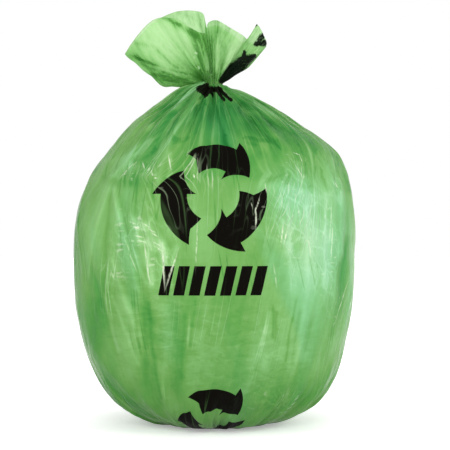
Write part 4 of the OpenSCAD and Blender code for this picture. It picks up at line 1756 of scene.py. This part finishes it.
@dataclass
class FreeFilm:
    """The open film above the neck, fanned out into folds."""

    shape: BagShape
    folds: FilmFolds
    view: View
    around: int = 480
    rings: int = 92
    wall: float = 0.3
    # Lower edge of the left fold: a place on it, its slope, how far above it points are drawn
    # in, and how much they are raised or lowered and where
    edge_right: float = -107.0
    edge_z: float = 575.0
    edge_slope: float = 0.85
    edge_reach: float = 42.0
    edge_lift: float = 7.5
    lift_inner: Pair = (-88, -106)
    lift_outer: Pair = (-148, -128)
    edge_drop: float = 3.0
    drop_right: float = -82.0
    drop_spread: float = 9.0
    # Fine pleats: how far they reach is a share, and their width is in turns
    pleats: int = 58
    pleat_height: Pair = (0.8, 3.0)
    pleat_reach: Pair = (0.35, 1.15)
    pleat_width: Pair = (0.0025, 0.006)
    pleat_sharpness: float = 1.2
    gather_height: float = 1.6
    # Flat panels: cells round and along the film, height, and creases in a cell
    panels: int = 17
    panel_rows: float = 1.6
    panel_height: float = 1.6
    panel_creases: float = 2.0
    # Plain tone, the spots' front-to-back spread, and how far back the print and bands show
    tone: float = 0.5
    spot_depth: float = 60.0
    print_back: float = 12.0
    band_back: float = 4.0
    # Shades: middle right, front-to-back and up, spread across and along, degrees, amount
    shades: tuple = (
        (-14, -10, 622, 20, 50, 6, -0.15), (-10, 0, 576, 34, 16, 0, -0.26), (6, -20, 640, 10, 30, 16, -0.16),
        (-86, -20, 640, 44, 40, 0, 0.26), (-92, -20, 588, 40, 9, -20, -0.08),
        (32, -20, 630, 14, 32, -30, 0.22), (-60, 26, 690, 60, 16, 0, -0.1),
    )
    # Right and up at both ends as seen from the front, width, height
    creases: tuple = (
        (-58, 591, -70, 598, 1.3, -2), (-70, 598, -99, 627, 1.3, -2.2), (-99, 627, -137, 637, 1.2, -1.6),
        (-40, 582, -78, 590, 1.3, -2), (-78, 590, -143, 617, 1.4, -2.2), (-55, 580, -97, 596, 1.3, 1.8),
        (-97, 596, -137, 613, 1.3, -1.8), (-52, 576, -94, 589, 1.3, -2.2), (-94, 589, -128, 603, 1.3, -1.6),
        (-40, 573, -68, 576, 1.4, -2), (-68, 576, -107, 585, 1.3, -2), (-58, 569, -92, 575, 1.3, -2),
        (14, 588, 50, 642, 2.2, 1.6), (10, 588, 30, 652, 2.4, -1.8), (4, 584, 8, 652, 2.4, 2),
        (-4, 584, -9, 652, 2.4, -2), (-11, 588, -27, 640, 2.4, 1.8), (18, 584, 62, 624, 2.4, -1.6),
        (-24, 590, -62, 668, 3.2, 1.4),
    )
    # Print: both ends and half the width at each in the photo's pixels, amount
    patches: tuple = (
        (222, 80.5, 234, 70, 3.2, 7, 1), (234, 70, 242, 63.5, 7, 6.5, 0.86),
        (242, 63, 254, 56, 6.5, 2.4, 0.86), (244, 57, 244.5, 51.5, 2.6, 1.4, 1),
        (256, 44, 264, 43, 2.6, 3.4, 0.78), (260, 40, 262, 36, 3.6, 3, 0.7),
        (256, 25.5, 257, 24, 1.2, 1, 0.9),
    )
    # Soft light and dark bands: both ends in the photo's pixels, half the width, amount
    bands: tuple = (
        (162, 17, 180, 25, 1.8, -0.3), (178, 25, 195, 36, 3.6, -0.34), (198, 34, 200, 76, 6.5, -0.22),
        (206, 34, 207, 78, 7, -0.02), (213, 38, 210, 70, 3.5, -0.04), (211, 26, 209, 76, 4.5, 0.16),
        (152, 76, 190, 84, 4, -0.18), (127, 53, 140, 58, 4, -0.12), (194, 19, 192, 30, 3, -0.16),
        (160, 30, 170, 55, 12, 0.1), (224, 40, 232, 58, 6, 0.05),
    )
    # Painted glints, bright specks: both ends and half the width at each in the photo's pixels, amount
    painted_glint_spots: tuple = (
        (195.5, 52.5, 196.5, 53.5, 0.8, 0.8, 1), (198.5, 67, 199, 68.5, 0.8, 0.8, 1),
        (177, 16.5, 178.5, 17, 0.7, 0.7, 0.8), (194, 57, 194.5, 58, 0.6, 0.6, 0.5),
    )
    # Where each fold bends outwards, as shares of its edge's place
    bend_share: Triple = (0.54, 0.75, 0.5)
    # Places right of, behind and above the neck's top, and how far that fold sags
    rim: tuple = (
        (86, 4, 65, 24), (84, -16, 79, 12), (70, -30, 98, 12), (59, -10, 76, 0), (44, -30, 82, 4),
        (24, -36, 93, 6), (5, -32, 104, 2), (-10, -24, 100, 0), (-16, -8, 86, 0), (-34, -26, 89, 0),
        (-64, -34, 106, 10), (-98, -30, 106, 22), (-127, -18, 81, 78), (-148, 0, 53, 72),
        (-128, 16, 80, 78), (-99, 26, 111, 20), (-62, 30, 128, 4), (-20, 27, 125, 0), (-14, 6, 98, 0),
        (2, 26, 104, 0), (18, 32, 97, 4), (36, 30, 85, 2), (50, 14, 72, 0), (70, 26, 74, 6),
    )

    def edge(self, u: Array) -> Array:
        """Mouth's edge as a closed smooth curve through the rim's places.

        Args:
            u: Turns.

        Returns:
            Points and sags by the Catmull-Rom rule.
        """
        rim = np.array(self.rim, float)
        n = len(rim)
        place = (u % 1) * n
        i = np.floor(place).astype(int)
        t = (place - i)[..., None]
        p0, p1, p2, p3 = (rim[(i + k) % n] for k in (-1, 0, 1, 2))
        square = (2 * p0 - 5 * p1 + 4 * p2 - p3) * t**2
        cube = (3 * p1 - p0 - 3 * p2 + p3) * t**3
        return (2 * p1 + (p2 - p0) * t + square + cube) / 2

    def sheet_points(self, u: Array, t: Array) -> Array:
        """Points of the solid's free film: each fold a curve that leaves the neck upwards.

        Args:
            u: Turns round the film.
            t: Shares of the way from the neck to the edge.

        Returns:
            Points in millimetres.
        """
        shape = self.shape
        edge = self.edge(u)
        c = np.cos(-TAU * u)[..., None]
        sn = np.sin(-TAU * u)[..., None]
        flat = np.concatenate([c, sn, 0 * c], -1)
        start = flat * shape.neck_r + [0, 0, shape.neck_top]
        up = start + [0, 0, shape.collar_h]
        up[..., 2] += shape.collar_lift * edge[..., 3]
        bend = edge[..., :3] * self.bend_share + [0, 0, shape.neck_top]
        bend[..., 2] -= edge[..., 3]
        end = edge[..., :3] + [0, 0, shape.neck_top]
        t = t[..., None]
        b = 1 - t
        return start * b**3 + 3 * up * b**2 * t + 3 * bend * b * t**2 + end * t**3

    def drawn_in(self, points: Array) -> Array:
        """Draws the left fold's lower edge nearly straight.

        Args:
            points: Points in millimetres.

        Returns:
            The points, raised near a slanting line below the left tip and lowered beside it,
            less and less with their height above that line.
        """
        right, up = points[..., 0], points[..., 2]
        edge_z = self.edge_z - self.edge_slope * (right - self.edge_right)
        near = 1 - smooth(edge_z, edge_z + self.edge_reach, up)
        raised = self.edge_lift * smooth(*self.lift_inner, right) * smooth(*self.lift_outer, right)
        lowered = self.edge_drop * bell(right, self.drop_right, self.drop_spread)
        out = points.copy()
        out[..., 2] += (raised - lowered) * near
        return out

    def ripples(self, u: Array, t: Array) -> Array:
        """Fine pleats of the free film, sharp at the neck and soft towards the edge.

        Args:
            u: Turns round the film.
            t: Shares of the way from the neck to the edge.

        Returns:
            Distances outwards.
        """
        rng = np.random.default_rng(self.folds.seed + 5)
        gathers = self.shape.fold(u, self.shape.gathers) - 0.5
        out = gathers * self.gather_height * smooth(0, 0.4, t)
        for k in range(self.pleats):
            centre = (k + rng.uniform(-0.45, 0.45)) / self.pleats
            height = rng.uniform(*self.pleat_height) * rng.choice([1, -1])
            reach = rng.uniform(*self.pleat_reach)
            width = rng.uniform(*self.pleat_width)
            crest = height * ridge(half_turn(u - centre), width, self.pleat_sharpness)
            out = out + crest * smooth(0, 0.2, t) * (1 - smooth(0.5 * reach, reach, t))
        cells = self.panels
        noise = gradient_noise(u * cells, t * self.panel_rows, cells, self.folds.seed + 6)
        panels = sharp_fold(self.panel_creases * noise + 0.5)
        return out + self.panel_height * panels * smooth(0.2, 0.7, t)

    def build(self) -> Object:
        """Makes the free film as a thin closed wall.

        Returns:
            The object: the outer face to the edge, and the inner face back to the neck.
        """
        shape = self.shape
        u = (np.arange(self.around) / self.around)[None, ::-1]
        t = np.linspace(0, 1, self.rings)[:, None]
        u, t = np.broadcast_arrays(u, t)
        plain = self.drawn_in(self.sheet_points(u, t))
        wrinkles = crease_runs(plain[..., 0], plain[..., 2], self.creases)
        mid = plain - outward(plain) * (self.ripples(u, t) + wrinkles)[..., None]
        mid = np.concatenate([mid[:1] * [1, 1, 0] + [0, 0, shape.neck_z], mid])
        half_wall = outward(mid) * self.wall / 2
        rings = np.concatenate([mid - half_wall, (mid + half_wall)[::-1]])
        mesh = grid_mesh("bag_mouth", rings, Ends.LOOP)
        s = shape.neck_s + shape.neck_top - shape.neck_bottom + t * shape.mouth_l
        s = np.concatenate([s[:1] - (shape.neck_top - shape.neck_z), s])
        self._dress(mesh, rings, s, np.concatenate([wrinkles[:1], wrinkles]))
        return linked("bag_mouth", mesh)

    def _dress(self, mesh: Mesh, rings: Array, s: Array, wrinkles: Array) -> None:
        """Adds the film's coordinates, its shade and its print, its painted glints, and the creases'
        heights for painted shade.

        Args:
            mesh: The wall.
            rings: Its points in millimetres, the outer face and back along the inner one.
            s: Millimetres along the film on one face.
            wrinkles: Heights of the listed creases on one face.
        """
        s, wrinkles = (np.concatenate([face, face[::-1]]) for face in (s, wrinkles))
        u = np.broadcast_to((np.arange(self.around) / self.around)[None, ::-1], s.shape)
        seen = self.view.pixels(rings)
        back = rings[..., 1]
        tone = self.tone + spots(rings, self.shades, self.spot_depth)
        add_values(mesh, {
            "film_place": self.shape.tube(u, s),
            "wrinkle_shading": wrinkles,
            "shade": tone + band_tones(*seen, self.bands) * (back < self.band_back),
            "printed": stroke_shares(*seen, self.patches) * (back < self.print_back),
            "painted_glint": stroke_shares(*seen, self.painted_glint_spots) * (back < 0),
        }, Ends.LOOP)


@dataclass
class Studio:
    """White studio: a pale floor, a white surround, soft boxes and the camera, in metres."""

    view: View
    sensor: float = 36.0
    far_clip: float = 50.0
    # Height of the point on the bag that the lamps face
    aim_z: float = 0.33
    # How bright the white surround is as a light, how much the floor shines by itself under
    # the bag, and the distances over which it comes to shine in full
    surround: float = 0.32
    floor_lift: float = 0.33
    floor_reach: Pair = (0.07, 0.46)
    floor_half: float = 12.0
    floor_colour: tuple[float, float, float, float] = (0.86, 0.86, 0.86, 1)
    floor_roughness: float = 0.9
    # Lamps: name, place, width and height, watts, whether glossy surfaces show it
    lamps: tuple = (
        ("box_left", (-1.75, -0.5, 0.95), (0.7, 0.9), 5, False),
        ("box_right", (1.85, 0.0, 0.75), (0.9, 1.1), 10, False),
        ("strip_left", (-1.3, -1.5, 1.2), (0.12, 0.7), 8, True),
        ("strip_right", (1.35, -1.3, 1.1), (0.12, 0.7), 8, True),
        ("fill_front", (0.0, -2.7, 1.3), (1.6, 1.2), 33.5, False),
        ("fill_back", (0.5, 2.7, 0.8), (1.6, 1.2), 14, False),
    )

    def camera(self) -> None:
        """Sets the camera level, in front of the bag, at the photo's framing."""
        camera = bpy.data.cameras.new("camera")
        camera.sensor_width = self.sensor
        camera.lens = self.sensor * self.view.distance / (self.view.frame_px * self.view.mm_per_px)
        camera.clip_end = self.far_clip
        obj = linked("camera", camera)
        obj.location = self.view.eye * MM
        obj.rotation_euler = (np.pi / 2, 0, 0)
        bpy.context.scene.camera = obj

    def soft_box(self, name: str, place: tuple, size: tuple, power: float, mirrored: bool) -> None:
        """Adds a rectangular lamp that faces the bag's middle.

        Args:
            name: The lamp's name.
            place: Where it stands.
            size: Its width and height.
            power: Its power in watts.
            mirrored: Whether glossy surfaces show it.
        """
        lamp = bpy.data.lights.new(name, "AREA")
        lamp.shape = "RECTANGLE"
        lamp.size, lamp.size_y = size
        lamp.energy = power
        obj = linked(name, lamp)
        obj.location = place
        obj.visible_glossy = mirrored
        towards = Vector((0, 0, self.aim_z)) - Vector(place)
        obj.rotation_euler = towards.to_track_quat("-Z", "Y").to_euler()

    def floor(self) -> None:
        """Lays the pale floor, which reads white wherever no shadow falls."""
        half = self.floor_half
        corners = [(-half, -half, 0), (half, -half, 0), (half, half, 0), (-half, half, 0)]
        mesh = bpy.data.meshes.new("floor")
        mesh.from_pydata(corners, [], [(0, 1, 2, 3)])
        sheet = Sheet("floor_white")
        place = sheet.node("TexCoord", {}).outputs["Object"]
        far = sheet.node("VectorMath", {0: place}, operation="LENGTH").outputs["Value"]
        far = sheet.ease(far, *self.floor_reach)
        lift = sheet.math("MULTIPLY_ADD", far, 1.0 - self.floor_lift, self.floor_lift)
        shader = sheet.node("BsdfPrincipled", {
            "Base Color": self.floor_colour, "Roughness": self.floor_roughness,
            "Specular IOR Level": 0.0, "Emission Color": (1, 1, 1, 1),
            "Emission Strength": sheet.times(self.seen(sheet), lift),
        })
        mesh.materials.append(sheet.finish(shader.outputs["BSDF"]))
        linked("floor", mesh)

    def seen(self, sheet: Sheet) -> Socket:
        """A socket that is 1 where the eye, a mirror or clear stuff looks, and 0 for light."""
        path = sheet.node("LightPath", {}).outputs
        mirrored = sheet.math("MAXIMUM", path["Is Glossy Ray"], path["Is Transmission Ray"])
        return sheet.math("MAXIMUM", path["Is Camera Ray"], mirrored)

    def world(self) -> None:
        """Makes the white surround: full white where it is seen, plain and low as a light."""
        world = bpy.data.worlds.new("studio")
        bpy.context.scene.world = world
        world.use_nodes = True
        sheet = Sheet("studio_white", world.node_tree)
        strength = sheet.math("MULTIPLY_ADD", self.seen(sheet), 1.0 - self.surround, self.surround)
        back = sheet.node("Background", {"Color": (1, 1, 1, 1), "Strength": strength})
        sheet.finish(back.outputs["Background"])

    def build(self) -> None:
        """Builds the whole studio."""
        self.camera()
        self.floor()
        self.world()
        for lamp in self.lamps:
            self.soft_box(*lamp)
        bpy.context.scene.view_settings.view_transform = "Standard"


def seat(obj: Object, slot: str, material: Material, *replaced: str) -> None:
    """Gives a piece its finish and its place in the frame.

    Args:
        obj: The piece.
        slot: The record's material slot; not used.
        material: Its finish.
        *replaced: The nodes that it stands for.
    """
    obj.data.materials.append(material)
    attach(obj, "root")
    if replaced:
        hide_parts(*replaced)
    LOG.info("%s: %d faces", obj.name, len(obj.data.polygons))


def main() -> None:
    """Builds the bag's pieces in order and reports each."""
    logging.basicConfig(level=logging.INFO, format="%(message)s")
    shape = BagShape()
    folds = FilmFolds(shape)
    ink = Print()
    view = View()
    Studio(view).build()
    film = FilledFilmFinish().build(ink, shape, view)
    seat(FilledBody(shape, folds, view).build(), "film", film, "bag")
    seat(FreeFilm(shape, folds, view).build(), "film", FreeFilmFinish().build(), "bag")
    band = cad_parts["neck_band"]
    for slot in band.material_slots:
        slot.material = BandFinish().build()
    LOG.info("neck_band: %d faces", len(band.data.polygons))


if __name__ == "__main__":
    main()
